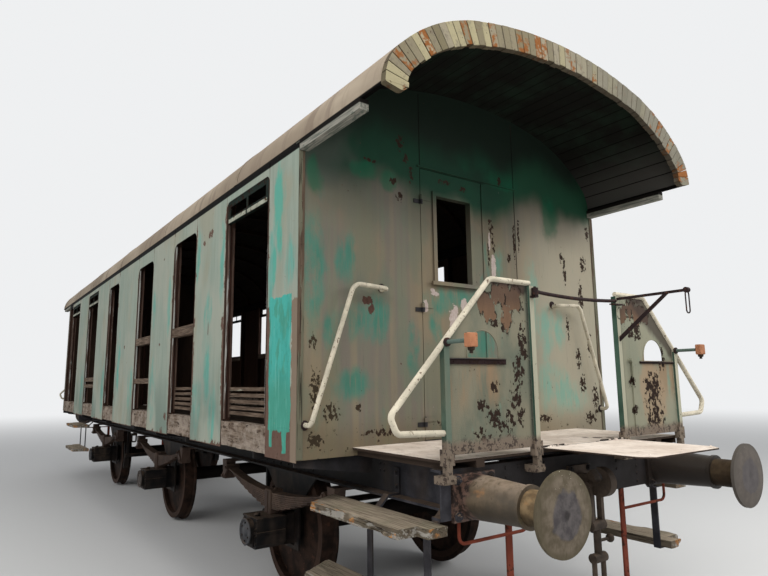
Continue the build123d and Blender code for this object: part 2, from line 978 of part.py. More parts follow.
threshold = block(
    wall_inner_x, half_body, doorway_left, doorway_right, up(deck_foot_height), up(floor_height)
)
end_wall = (
    end_wall_panel(-wall_face, doorway_left, up(deck_foot_height))
    + end_wall_panel(doorway_right, wall_face, up(deck_foot_height))
    + threshold
)
end_header = end_wall_panel(doorway_left, doorway_right, up(doorway_height))
door_foot_height = floor_height + door_floor_gap
door_top_height = doorway_height - door_gap


def door_leaf():
    """Leaf flush with the outer face, with its window cut and a frame round the window."""
    leaf = block(
        half_body - door_thickness, half_body, door_left, door_right,
        up(door_foot_height), up(door_top_height),
    )
    leaf -= block(
        half_body - door_thickness, half_body, door_window_left, door_window_right,
        up(door_window_foot_height), up(door_window_top_height),
    )
    edge = door_mould_edge
    proud = door_mould_proud
    mould = block(
        half_body, half_body + proud, door_window_left - edge, door_window_right + edge,
        up(door_window_foot_height - edge), up(door_window_top_height + edge),
    ) - block(
        half_body, half_body + proud, door_window_left, door_window_right,
        up(door_window_foot_height), up(door_window_top_height),
    )
    sill = block(
        half_body + proud, half_body + proud + door_sill_reach,
        door_window_left - edge - door_sill_end, door_window_right + edge + door_sill_end,
        up(door_window_foot_height - edge), up(door_window_foot_height - 6),
    )
    whole = leaf + mould + sill + door_handle
    for height in hinge_heights:
        whole += hinge_leaf_half(height)
    return whole


fixed_leaf = block(
    half_body - door_thickness, half_body, door_right + latch_gap, doorway_right,
    up(floor_height), up(doorway_height),
)
hinge_x = half_body + hinge_radius
hinge_y = door_left - door_gap / 2
hinge_heights = (1330, 2110, 2890)


def hinge_leaf_half(height):
    """Upper knuckle and strap on the door."""
    z0 = up(height) + hinge_rise / 2 + 1
    z1 = z0 + hinge_rise / 2
    knuckle = bar_along_z(hinge_x, hinge_y, hinge_radius, z0, z1)
    strap = block(
        half_body, half_body + hinge_strap_thickness, hinge_y, hinge_y + hinge_strap, z0, z1
    )
    bore = bar_along_z(hinge_x, hinge_y, hinge_pin_radius + pin_play, z0, z1)
    return knuckle + strap - bore


def hinge_frame_half(height):
    """Lower knuckle with its pin and plate on the wall."""
    z0 = up(height)
    z1 = z0 + hinge_rise / 2
    knuckle = bar_along_z(hinge_x, hinge_y, hinge_radius, z0, z1)
    plate = block(
        half_body, half_body + hinge_strap_thickness, hinge_y - hinge_strap * 0.7, hinge_y, z0, z1
    )
    pin = bar_along_z(hinge_x, hinge_y, hinge_pin_radius, z1, z1 + hinge_rise / 2 + 6)
    return knuckle + plate + pin


handle_y = door_right - door_handle_edge
handle_x = half_body + door_handle_stand
handle_high = up(door_handle_height + door_handle_rise / 2)
handle_low = up(door_handle_height - door_handle_rise / 2)
door_handle = pipe(
    (
        (half_body, handle_y, handle_high), (handle_x, handle_y, handle_high),
        (handle_x, handle_y, handle_low), (half_body, handle_y, handle_low),
    ),
    door_handle_radius, 18,
)


# Platform pieces, near end

def railing(side):
    """Sheet panel between an inner and an outer post, with an arched hole and a ledge."""
    x0 = railing_x - post_size / 2
    x1 = railing_x + post_size / 2
    half = post_size / 2
    sheet_face = polygon((
        (inner_post, up(railing_foot_height)), (outer_post, up(railing_foot_height)),
        (outer_post, up(railing_low_height)), (railing_slope_start, up(railing_top_height)),
        (inner_post, up(railing_top_height)),
    ))
    sheet = along_x(sheet_face, railing_x - railing_sheet / 2, railing_x + railing_sheet / 2)
    arch_radius = (arch_outer - arch_inner) / 2
    middle = (arch_inner + arch_outer) / 2
    arch_spring = up(arch_foot_height + arch_side)
    hole = block(
        x0, x1, arch_inner, arch_outer, up(arch_foot_height), arch_spring
    ) + bar_along_x(middle, arch_spring, arch_radius, x0, x1)
    hole &= block(x0, x1, arch_inner, arch_outer, up(arch_foot_height), up(railing_top_height))
    whole = sheet - hole
    foot_z = up(deck_foot_height - post_foot_drop)
    for y, top in ((inner_post, railing_top_height), (outer_post, railing_low_height)):
        whole += block(x0, x1, y - half, y + half, foot_z, up(top))
        whole += block(
            headstock_face, x1, y - post_foot_half, y + post_foot_half,
            foot_z, up(deck_foot_height - post_shoe_sunk),
        )
        whole += block(
            x0, x1, y - post_shoe_half, y + post_shoe_half,
            up(floor_height - post_shoe_sunk), up(floor_height + post_shoe_rise),
        )
    ledge_top = up(arch_foot_height - ledge_drop)
    whole += block(
        railing_x - ledge_width, railing_x, arch_inner - ledge_end, outer_post,
        ledge_top - ledge_thickness, ledge_top,
    )
    if side > 0:
        whole += catch_lever()
    whole -= other_side(platform_handrail())
    if side < 0:
        whole = other_side(whole)
    return whole


def catch_lever():
    """Strap up the far railing's sheet with a boss and a hanging rod, fixed."""
    face = railing_x + railing_sheet / 2
    strap = block(
        face, face + strap_thickness, strap_place - strap_width / 2, strap_place + strap_width / 2,
        up(railing_foot_height), up(arch_foot_height),
    )
    stand = face + catch_stand
    boss_z = up(arch_foot_height)
    boss = bar_along_x(catch_place, boss_z, catch_radius, face, stand)
    rod_x = stand - catch_rod_radius
    rod = bar_along_z(rod_x, catch_place, catch_rod_radius, boss_z - catch_rod_length, boss_z)
    return strap + boss + rod


def platform_handrail():
    """White rail along the railing top, out past the post and back, seen side."""
    x = railing_x
    lift = up(handrail_radius)
    slope = (railing_top_height - railing_low_height) / (outer_post - railing_slope_start)
    out = handrail_out
    corner = lift + railing_top_height - slope * (out - railing_slope_start)
    knee = corner - handrail_hook_drop
    points = (
        (x, -inner_post, lift + railing_top_height),
        (x, -railing_slope_start, lift + railing_top_height),
        (x, -out, corner),
        (x, -out + handrail_hook, knee),
        (x, -outer_post - post_size / 2, knee - handrail_return_drop),
    )
    return pipe(points, handrail_radius, (60, 38, 38))


def end_grab_rail():
    """Bent rail on the end wall beside the platform, seen side."""
    x = half_body + grab_stand
    top = up(grab_top_height)
    foot = up(grab_foot_height)
    points = (
        (half_body, -grab_inner, top), (x, -grab_inner, top), (x, -grab_bend, top + grab_bend_rise),
        (x, -grab_outer, foot), (half_body, -grab_outer, foot),
    )
    return pipe(points, grab_radius, (30, 70, 34))


def lamp_bracket():
    """Arm on the outer post with the socket that a tail lamp slides over."""
    x0 = railing_x + post_size / 2
    x1 = x0 + lamp_arm_length
    z = up(lamp_height)
    y = -outer_post
    rise = lamp_arm_rise / 2
    half = lamp_socket / 2
    arm = block(x0, x1, y - lamp_arm_width / 2, y + lamp_arm_width / 2, z - rise, z + rise)
    return arm + block(x1, x1 + lamp_socket, y - half, y + half, z - half, z + half)


def outrigger():
    """Braced arm with a knob and a hanging ring, fixed to the inner post of the far side."""
    y = inner_post
    x0 = railing_x + post_size / 2
    z = up(outrigger_height)
    tip = x0 + outrigger_reach
    half = outrigger_width / 2
    low = z - outrigger_rise
    arm = block(x0, tip, y - half, y + half, low, z)
    brace_foot = z - outrigger_brace_drop
    brace_face = polygon((
        (x0, brace_foot - outrigger_brace_rise), (x0, brace_foot),
        (tip - outrigger_brace_end - outrigger_brace_rise, low), (tip - outrigger_brace_end, low),
    ))
    brace = along_y(brace_face, y - half + 2, y + half - 2)
    knob = bar_along_y(tip, z - outrigger_rise / 2, outrigger_knob_radius, y - half - 6, y + half + 6)
    ring_top = low - 2
    path = FilletPolyline(
        (tip, y - ring_half_width, ring_top), (tip, y + ring_half_width, ring_top),
        (tip, y + ring_half_width, ring_top - ring_rise), (tip, y - ring_half_width, ring_top - ring_rise),
        radius=ring_half_width * 0.9, close=True,
    )
    ring = sweep(Plane(origin=path @ 0, z_dir=path % 0) * Circle(ring_wire), path=path)
    return arm + brace + knob + ring


gate_x = railing_x + post_size / 2 + gate_stand
gate_z = up(gate_bar_height)
gate_tip = inner_post - gate_tip_gap
gate_hinge_y = -inner_post
gate_lug_z = gate_z - gate_knuckle_rise / 2 - 1


def gate_bar():
    """Round bar across the gangway, a knuckle at its root and a slight sag."""
    middle = (gate_hinge_y + gate_tip) / 2
    start = gate_hinge_y + gate_knuckle_radius - 2
    path = ThreePointArc(
        (gate_x, start, gate_z), (gate_x, middle, gate_z - gate_bar_sag), (gate_x, gate_tip, gate_z)
    )
    bar = sweep(Plane(origin=path @ 0, z_dir=path % 0) * Circle(gate_bar_radius), path=path)
    half = gate_knuckle_rise / 2
    knuckle = bar_along_z(gate_x, gate_hinge_y, gate_knuckle_radius, gate_z - half, gate_z + half)
    bore = bar_along_z(gate_x, gate_hinge_y, gate_pin_radius + pin_play, gate_z - half, gate_z + half)
    root = gate_bar_radius - 2
    link = block(gate_x - root, gate_x + root, start - 4, start + 12, gate_z - root, gate_z + root)
    return knuckle + link + bar - bore


def gate_bracket():
    """Lug with the pin that the gate bar turns on."""
    x0 = railing_x + post_size / 2
    y = gate_hinge_y
    half = post_size / 2 - 4
    lug = block(x0, gate_x + half, y - half, y + half, gate_lug_z - gate_bar_radius, gate_lug_z)
    return lug + bar_along_z(gate_x, y, gate_pin_radius, gate_lug_z, gate_z + gate_knuckle_rise / 2 + 8)


def gate_catch():
    """Shelf on the other post under the tip of the gate bar."""
    x0 = railing_x + post_size / 2
    y = inner_post
    z = gate_z - gate_bar_radius - 6
    return block(
        x0, x0 + gate_catch_reach, gate_tip - gate_catch_reach, y + post_size / 2 - 2,
        z - gate_catch_thickness, z,
    )


fall_hinge_x = railing_x - 4
fall_hinge_z = up(floor_height) + fall_hinge_radius + 2


def fall_plate():
    """Chequer plate that bridges to the next coach, hinged at the deck edge."""
    z0 = fall_hinge_z - fall_plate_thickness / 2
    x0 = fall_hinge_x
    x1 = x0 + fall_plate_length
    corner = fall_plate_corner
    outline = polygon((
        (x0, -fall_plate_root_half), (x1 - corner, -fall_plate_tip_half),
        (x1, -fall_plate_tip_half + corner), (x1, fall_plate_tip_half - corner),
        (x1 - corner, fall_plate_tip_half), (x0, fall_plate_root_half),
    ))
    plate = along_z(outline, z0, z0 + fall_plate_thickness)
    clear = fall_hinge_radius + 3
    for y0, y1 in fall_lugs:
        plate -= block(x0 - 20, x0 + clear, y0 - 3, y1 + 3, z0 - 20, z0 + 20)
    for y0, y1 in fall_knuckles:
        plate += bar_along_y(x0, fall_hinge_z, fall_hinge_radius, y0, y1)
    for y0, y1 in fall_knuckles:
        plate -= bar_along_y(x0, fall_hinge_z, fall_pin_radius + pin_play, y0, y1)
    return plate


fall_knuckles = ((-340, -220), (220, 340))
fall_lugs = ((-378, -343), (-217, -182), (182, 217), (343, 378))


def fall_hinge():
    """Lugs on the deck with the pins of the fall plate."""
    lugs = []
    for outer, inner in ((fall_lugs[0], fall_lugs[1]), (fall_lugs[2], fall_lugs[3])):
        whole = bar_along_y(fall_hinge_x, fall_hinge_z, fall_pin_radius, outer[0], inner[1])
        for y0, y1 in (outer, inner):
            whole += bar_along_y(fall_hinge_x, fall_hinge_z, fall_hinge_radius, y0, y1)
            whole += block(
                fall_hinge_x - 40, fall_hinge_x, y0, y1, up(floor_height), fall_hinge_z
            )
        lugs.append(whole)
    return lugs


# Steps, near end, seen side

step_end = headstock_face + step_from_end
step_start = step_end - step_length
arm_places = [step_start + place_on_step for place_on_step in step_arm_places]


def step_plank(shift, height):
    """Plank whose far end is cut askew and whose outer near corner is broken off."""
    x0 = step_start - shift
    x1 = step_end - shift
    outline = polygon((
        (x0, -step_inner), (x0, -step_inner - step_corner_start), (x0 + step_corner, -step_outer),
        (x1 - step_notch, -step_outer), (x1 - step_notch, -step_outer + step_notch_depth),
        (x1, -step_outer + step_notch_depth), (x1, -step_inner),
    ))
    return along_z(outline, up(height - step_thickness), up(height))


def step_arm(x):
    """Flat iron from the solebar web over the flange, down and out under the plank."""
    top = up(upper_step_height) + step_arm_rise
    z = up(upper_step_height - step_thickness)
    web = -solebar_web_outer
    thick = step_arm_thickness
    knee = -step_inner + step_arm_knee
    over = up(solebar_foot_height) + solebar_flange_thickness
    outline = polygon((
        (web, top), (web - thick, top), (web - thick, over + thick),
        (-solebar_outer - thick, over + thick), (knee, z), (-step_outer + 30, z),
        (-step_outer + 30, z - thick), (knee + thick / 2, z - thick),
        (-solebar_outer - thick / 2, over), (web, over),
    ))
    return along_x(outline, x - step_arm_width / 2, x + step_arm_width / 2)


def step_hanger(x):
    """Flat bar from the arm down under the lower plank."""
    thick = step_arm_thickness
    y = -step_inner
    top = up(upper_step_height - step_thickness) - thick
    foot = up(lower_step_height - step_thickness) - thick
    outline = polygon((
        (y, top), (y + thick, top), (y + thick, foot), (-step_outer + 40, foot),
        (-step_outer + 40, foot + thick), (y, foot + thick),
    ))
    return along_x(outline, x - step_arm_width / 2, x + step_arm_width / 2)


# Brake gear and the air tank below the floor

block_gap = 6
block_thickness = 55
block_half_angle = 22
hanger_bar = 30


def brake_beam(x, side):
    """Beam with a shoe and a hanger for each wheel of an axle, on one side of it."""
    centre_z = up(tread_radius)
    y_mid = wheel_inner_face + flange_width + 46
    half = 38
    inner = tread_radius + block_gap
    outer = inner + block_thickness
    angle = block_half_angle
    start = -angle if side > 0 else 180 - angle
    centre = (x, centre_z)

    def at(radius, degrees):
        turn = math.radians(degrees)
        return centre[0] + radius * math.cos(turn), centre[1] + radius * math.sin(turn)

    shoe_face = Face(Wire([
        CenterArc(centre, inner, start, 2 * angle),
        CenterArc(centre, outer, start, 2 * angle),
        Line(at(inner, start), at(outer, start)),
        Line(at(inner, start + 2 * angle), at(outer, start + 2 * angle)),
    ]))
    beam_x = x + side * (outer + 26)
    whole = bar_along_y(beam_x, centre_z, 30, -y_mid - half, y_mid + half)
    for hand in (-1, 1):
        y = hand * y_mid
        whole += along_y(shoe_face, y - half, y + half)
        hanger = block(
            beam_x - 14, beam_x + 14, y - hanger_bar / 2, y + hanger_bar / 2, centre_z, up(deck_foot_height)
        )
        whole += hanger
    return whole


# Vessels below the floor: start, length, place aside of the middle, radius
vessels = (
    {"start": 1850, "length": 600, "aside": -330, "radius": 130},
    {"start": -2500, "length": 700, "aside": 330, "radius": 160},
)
vessel_drop = 60
saddle_place = 120
saddle_thickness = 40


def vessel(row):
    """Round vessel hung below the floor by two saddles."""
    radius = row["radius"]
    end = row["start"] + row["length"]
    top = up(deck_foot_height)
    z = top - radius - vessel_drop
    whole = bar_along_x(row["aside"], z, radius, row["start"], end)
    half = saddle_thickness / 2
    for x in (row["start"] + saddle_place, end - saddle_place):
        whole += block(
            x - half, x + half, row["aside"] - radius * 0.7, row["aside"] + radius * 0.7, z, top
        )
    return whole


# Everything is written, one file for each node

os.makedirs("parts", exist_ok=True)

save("solebars", both_sides([solebar()]))
save("headstocks", both_ends([headstock()]))
save("cross_bearers", bearers)
save("floor_gussets", gussets)
save("guard_irons", both_ends(both_sides([guard_iron()])))
for number, axle_x in enumerate(axle_places, start=1):
    save("wheelset_" + str(number), [wheelset(axle_x)])
save("axle_boxes", both_sides([axle_box(x) for x in axle_places]))
save("axle_guards", both_sides([axle_guard(x) for x in axle_places]))
save("leaf_springs", both_sides([leaf_spring(x) for x in axle_places]))
save("spring_brackets", both_sides([spring_bracket(x, s) for x in axle_places for s in (-1, 1)]))
save("buffer_casings", both_ends(both_sides([buffer_casing()])))
save("buffer_plungers", both_ends(both_sides([buffer_plunger()])))
save("draw_hooks", both_ends([draw_hook()]))
save("screw_couplings", both_ends([screw_coupling()]))
save("shunter_handles", both_ends(both_sides([shunter_handle()])))
hose_cock, hose_stop, hose = brake_hose()
save("hose_fittings", both_ends([hose_cock, hose_stop]))
save("brake_hoses", both_ends([hose]))
save("brake_beams", [brake_beam(-axle_spacing, 1), brake_beam(axle_spacing, -1)])
save("air_vessels", [vessel(row) for row in vessels])

floor_half = wall_face - sill_depth
save("cabin_floor", [block(
    -wall_inner_x, wall_inner_x, -floor_half, floor_half, up(deck_foot_height), up(floor_height)
)])
save("platform_decks", both_ends([platform_deck()]))
save("bottom_sills", both_sides([left_wall(
    -wall_inner_x, wall_inner_x, floor_half, wall_face, deck_foot_height, opening_foot_height
)]))
cant = left_wall(-wall_inner_x, wall_inner_x, post_inner, wall_face, cant_foot_height, eave_height)
eave_rail = left_wall(
    half_body, half_body + eave_rail_length, post_inner, wall_face,
    eave_height - eave_rail_rise, eave_height,
)
save("cant_rails", both_sides([cant]) + both_ends(both_sides([eave_rail])))
save("left_posts", posts())
save("right_posts", [other_side(post) for post in posts()])
left_rail_rows = [(row, foot, top) for row in openings for foot, top in row["rails"]]
right_rail_rows = [(row, window_rail[0], window_rail[1]) for row in openings]
save("window_rails", rails(left_rail_rows) + [other_side(rail) for rail in rails(right_rail_rows)])
save("lath_strips", laths())
spans = panel_spans()
save("left_tall_sheets", tall_sheets(spans[:-1]))
save("right_tall_sheets", [other_side(sheet) for sheet in tall_sheets(spans)])
save("top_strips", both_sides([opening_strip(row) for row in openings]))
save("right_lower_sheets", [lower_sheet(row) for row in openings])
save("ventilator_hoods", both_sides([hood(row) for row in openings if row["hood"]]))

save("end_walls", both_ends([end_wall]))
save("end_wall_headers", both_ends([end_header]))
front_door = door_leaf()
save("front_door", [front_door])
save("rear_door", turned([front_door]))
save("door_frame_hinges", both_ends([hinge_frame_half(height) for height in hinge_heights]))
save("fixed_leaves", both_ends([fixed_leaf]))

roof_body_end = roof_end - fascia_thickness
save("roof_shell", [along_x(roof_face(0, roof_thickness), -roof_body_end, roof_body_end)])
save("roof_fascias", both_ends([roof_fascia(roof_body_end, roof_end)]))
rib_face = roof_face(roof_thickness, roof_thickness + rib_depth)
rib_pitch = (body_length - 2 * end_wall_thickness) / (rib_count + 1)
rib_marks = [wall_inner_x - rib_pitch * (index + 1) for index in range(rib_count)]
save("roof_ribs", [along_x(rib_face, x - rib_width / 2, x + rib_width / 2) for x in rib_marks])

save("platform_railings", both_ends([railing(-1), railing(1)]))
save("platform_handrails", both_ends(both_sides([platform_handrail()])))
save("end_grab_rails", both_ends(both_sides([end_grab_rail()])))
save("lamp_brackets", both_ends(both_sides([lamp_bracket()])))
save("outriggers", both_ends([outrigger()]))
save("gate_mounts", both_ends([gate_bracket(), gate_catch()]))
save("front_gate_bar", [gate_bar()])
save("rear_gate_bar", turned([gate_bar()]))
save("fall_plate_hinges", both_ends(fall_hinge()))
save("front_fall_plate", [fall_plate()])
save("rear_fall_plate", turned([fall_plate()]))

planks = [step_plank(0, upper_step_height), step_plank(lower_step_shift, lower_step_height)]
save("step_planks", both_ends(both_sides(planks)))
step_irons = [step_arm(x) for x in arm_places] + [step_hanger(x) for x in arm_places]
save("step_irons", both_ends(both_sides(step_irons)))
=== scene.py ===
import json
import math
import random
from functools import reduce
from itertools import product
from operator import and_, or_

import bmesh
import bpy
from mathutils import Matrix, Vector, noise


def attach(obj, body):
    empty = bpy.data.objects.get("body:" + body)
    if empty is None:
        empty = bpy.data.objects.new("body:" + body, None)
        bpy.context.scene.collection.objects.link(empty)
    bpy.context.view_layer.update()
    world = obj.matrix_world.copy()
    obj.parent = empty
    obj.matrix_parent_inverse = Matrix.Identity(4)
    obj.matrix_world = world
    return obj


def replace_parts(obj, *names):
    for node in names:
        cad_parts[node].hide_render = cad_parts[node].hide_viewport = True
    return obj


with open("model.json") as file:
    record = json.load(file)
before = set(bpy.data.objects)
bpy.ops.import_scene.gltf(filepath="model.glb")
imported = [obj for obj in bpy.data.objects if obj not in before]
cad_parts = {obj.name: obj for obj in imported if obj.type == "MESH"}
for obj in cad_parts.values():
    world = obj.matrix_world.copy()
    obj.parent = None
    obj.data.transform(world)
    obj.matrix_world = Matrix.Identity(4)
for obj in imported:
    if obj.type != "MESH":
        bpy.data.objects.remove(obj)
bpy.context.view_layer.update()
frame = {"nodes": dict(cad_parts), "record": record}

# Places in metres: X along the coach, the seen side is -Y, z = 0 under the wheel flanges
END = 4.68
HEADSTOCK = 5.5
ROOF_END = 5.602
SILL_FOOT = 1.212
SILL_TOP = 1.388
BUFFER_Y = 0.875
BUFFER_Z = 1.068
AXLE_Z = 0.528
AXLES = (-3.3, 0.0, 3.3)
CHASSIS = "chassis"
SIDES = (-1, 1)
CORNERS = ((1, -1), (1, 1), (-1, -1), (-1, 1))
ENDS = (("front", 1), ("rear", -1))

# Side openings as (start from the near end wall, width, head, whether a ventilator hood is over it)
OPENINGS = (
    (0.43, 0.80, 3.073, True), (1.95, 0.68, 3.003, False), (3.38, 0.67, 2.993, False),
    (5.07, 0.63, 2.988, False), (6.50, 0.80, 3.073, True), (8.13, 0.80, 3.073, True),
)


# Materials

def rgb(red, green, blue):
    """A screen colour of 0 to 255 as linear light."""
    parts = [part / 255 for part in (red, green, blue)]
    return [*(part / 12.92 if part <= 0.04045 else ((part + 0.055) / 1.055) ** 2.4 for part in parts), 1]


def math_node(kind, turned=False):
    """A method that adds a math node of one kind; turned takes its two values in the other order."""
    def method(self, *others):
        values = (self, *others)
        return self.tree.math(kind, *(values[::-1] if turned else values))
    return method


class Value:
    """What a node gives out. Sums with it add nodes; & is the lesser of two and | the greater."""

    def __init__(self, tree, socket):
        self.tree = tree
        self.socket = socket

    __add__ = __radd__ = math_node("ADD")
    __sub__ = math_node("SUBTRACT")
    __rsub__ = math_node("SUBTRACT", True)
    __mul__ = __rmul__ = math_node("MULTIPLY")
    __truediv__ = math_node("DIVIDE")
    __and__ = math_node("MINIMUM")
    __or__ = math_node("MAXIMUM")
    __abs__ = math_node("ABSOLUTE")
    root = math_node("SQRT")
    sign = math_node("SIGN")
    sine = math_node("SINE")
    whole = math_node("ROUND")

    def step(self, low, high):
        """0 below low, 1 above high, smooth between; low may be the larger."""
        values = {"Value": self, "From Min": low, "From Max": high}
        return self.tree.add("ShaderNodeMapRange", values, interpolation_type="SMOOTHSTEP")

    def lay(self, mask, colour):
        """Covers this colour with another where the mask is 1."""
        self.socket = self.tree.mix(mask, self, colour).socket


class Tree:
    """The node tree of a material or a world, one call for each node."""

    def __init__(self, owner):
        owner.use_nodes = True
        self.nodes = owner.node_tree.nodes
        self.links = owner.node_tree.links

    def feed(self, socket, value):
        if isinstance(value, Value):
            self.links.new(value.socket, socket)
        else:
            socket.default_value = value

    def add(self, kind, values, output=0, **settings):
        """Adds a node, fills its inputs and gives one of its outputs."""
        node = self.nodes.new(kind)
        for key, value in settings.items():
            setattr(node, key, value)
        for key, value in values.items():
            self.feed(node.inputs[key], value)
        return Value(self, node.outputs[output])

    def math(self, kind, *values):
        return self.add("ShaderNodeMath", dict(enumerate(values)), operation=kind)

    def show(self, output, share, first, second):
        """Feeds the tree's output with one of two shaders."""
        mixed = self.add("ShaderNodeMixShader", {0: share, 1: first, 2: second})
        self.feed(self.nodes[output].inputs["Surface"], mixed)

    def plain_rays(self):
        """1 for rays that see the backdrop itself or its reflection."""
        names = ("Is Camera Ray", "Is Glossy Ray", "Is Transmission Ray")
        return reduce(or_, [self.add("ShaderNodeLightPath", {}, name) for name in names])


MATERIALS = {}


class Shader(Tree):
    """Builds one material. A stretch is a scale along z or one for each axis; under 1 it draws grains out."""

    def __init__(self, name):
        self.name = name
        self.material = bpy.data.materials.new(name)
        super().__init__(self.material)
        self.place = self.add("ShaderNodeTexCoord", {}, "Object")
        self.x, self.y, self.z = self.parts(self.place)
        self.nx, self.ny, self.nz = self.parts(self.add("ShaderNodeNewGeometry", {}, "Normal"))

    def parts(self, vector):
        first = self.add("ShaderNodeSeparateXYZ", {0: vector})
        return [Value(self, socket) for socket in first.socket.node.outputs]

    def across(self):
        """Y as seen from the near end, and from the far end for the far half."""
        return self.y * self.x.sign()

    def own(self, name):
        """A number that the mesh carries at each of its points."""
        return self.add("ShaderNodeAttribute", {}, "Fac", attribute_name=name)

    def mix(self, share, first, second):
        """A colour between two, each three screen numbers or a colour made before."""
        first, second = (rgb(*one) if isinstance(one, tuple) else one for one in (first, second))
        return self.add("ShaderNodeMix", {0: share, 6: first, 7: second}, 2, data_type="RGBA")

    def noise(self, size, seed, stretch=1, detail=4, rough=0.6):
        """Noise whose grains are about size metres."""
        scales = (1, 1, stretch) if isinstance(stretch, (int, float)) else stretch
        spot = self.add("ShaderNodeMapping", {
            "Vector": self.place, "Scale": [part / size for part in scales],
            "Location": (seed, seed * 1.7, seed * 2.3),
        })
        values = {"Vector": spot, "Scale": 1, "Detail": detail, "Roughness": rough}
        return self.add("ShaderNodeTexNoise", values, "Fac")

    def near(self, u, v, rows, level):
        """Level less the squared way out of the closest ellipse (centre u, centre v, half u, half v)."""
        found = []
        for centre_u, centre_v, half_u, half_v in rows:
            a = self.math("MULTIPLY_ADD", u, 1 / half_u, -centre_u / half_u)
            b = self.math("MULTIPLY_ADD", v, 1 / half_v, -centre_v / half_v)
            found.append(level - self.math("MULTIPLY_ADD", a, a, b * b))
        return reduce(or_, found)

    def field(self, u, v, rows, ragged, grain, seed, wander):
        """Level above 0.6 in ragged ellipses."""
        u = (self.noise(0.22, seed + 3.1, detail=3, rough=0.55) - 0.5) * wander + u
        return (self.noise(grain, seed, 0.55, 5) - 0.5) * (ragged * 4) + self.near(u, v, rows, 1.6)

    def patches(self, u, v, rows, ragged, grain, seed, soft, wander):
        """Mask of ragged ellipses with soft edges."""
        level = self.field(u, v, rows, ragged, grain, seed, wander)
        return level.step(0.61 - soft / 2, 0.61 + soft / 2)

    def panels(self, u, v, rows, ragged, grain, seed, soft, stretch):
        """Mask of ragged rectangles; a row is (low u, high u, low v, high v)."""
        inside = [(u - row[0]) & (row[1] - u) & ((v - row[2]) & (row[3] - v)) for row in rows]
        fine = self.noise(grain, seed, stretch, 5, 0.65) - 0.5
        return (fine * ragged + reduce(or_, inside)).step(-soft, soft)

    def clusters(self, u, v, rows, size, seed, gain, base):
        """Mask of small ragged flakes, dense in the middle of each ellipse."""
        level = (self.near(u, v, rows, 1) | 0) * gain + self.noise(size, seed, 0.8, 5, 0.62)
        return level.step(base, base + 0.02)

    def chips(self, size, amount, seed, stretch=1, soft=0.03):
        """Mask of ragged islands; amount is about the share of the surface that they cover."""
        level = 0.72 - 0.42 * amount
        return self.noise(size, seed, stretch, 6, 0.62).step(level, level + soft)

    def done(self, colour, rough, height, depth, strength, shine=0.04, metal=0):
        """Feeds the surface and keeps the material under its name."""
        bump = self.add("ShaderNodeBump", {"Strength": strength, "Distance": depth, "Height": height})
        for name, value in (
            ("Base Color", colour), ("Roughness", rough), ("Metallic", metal), ("Normal", bump),
            ("Specular IOR Level", shine),
        ):
            self.feed(self.nodes["Principled BSDF"].inputs[name], value)
        MATERIALS[self.name] = self.material


DARK_RUST = (52, 38, 32)
BLACK = (24, 23, 22)
DUST = (104, 88, 74)

# Places on the seen side, as (x, z, half x, half z)
SIDE_SOFT = (
    (4.41, 2.78, 0.08, 0.3), (4.57, 2.4, 0.065, 0.16), (4.3, 2.36, 0.045, 0.26), (3.09, 2.24, 0.075, 0.15),
    (3.38, 2.62, 0.045, 0.28), (3.1, 1.78, 0.06, 0.3), (2.86, 1.5, 0.12, 0.2), (2.8, 2.72, 0.05, 0.24),
    (3.24, 1.42, 0.08, 0.2), (1.46, 1.62, 0.1, 0.28), (1.94, 2.4, 0.05, 0.26), (1.4, 2.44, 0.05, 0.2),
    (0.46, 1.6, 0.08, 0.26), (-0.2, 1.9, 0.08, 0.36), (-1.15, 1.6, 0.08, 0.3), (-2.8, 1.6, 0.12, 0.3),
    (-2.6, 2.5, 0.06, 0.24)
)
SIDE_STRONG = ((4.4, 2.88, 0.055, 0.22), (4.42, 2.62, 0.035, 0.13), (4.345, 2.4, 0.03, 0.14))
SIDE_BARE = (
    (3.436, 1.85, 0.03, 0.5), (3.42, 2.12, 0.05, 0.08), (2.742, 1.75, 0.028, 0.46), (3.1, 2.1, 0.012, 0.09),
    (3.1, 2.9, 0.09, 0.05), (2.94, 2.85, 0.05, 0.03), (2.045, 1.6, 0.01, 0.4), (1.305, 1.5, 0.01, 0.3),
    (1.7, 2.93, 0.03, 0.02), (1.66, 2.06, 0.03, 0.02), (0.62, 1.45, 0.014, 0.24), (0.1, 2.12, 0.05, 0.03),
    (1.96, 1.36, 0.06, 0.05), (4.6, 2.06, 0.012, 0.05), (4.55, 1.88, 0.012, 0.02)
)
# Bright old coat and the primer round it on the nearest sheet, as (low x, high x, low z, high z)
TEAL_PANELS = ((4.292, 4.598, 1.37, 2.205), (4.312, 4.35, 1.268, 1.45), (4.492, 4.548, 1.238, 1.45))
PRIMER_PANELS = ((4.245, 4.3, 1.19, 2.16), (4.24, 4.69, 1.19, 1.385), (4.604, 4.72, 1.19, 2.16))
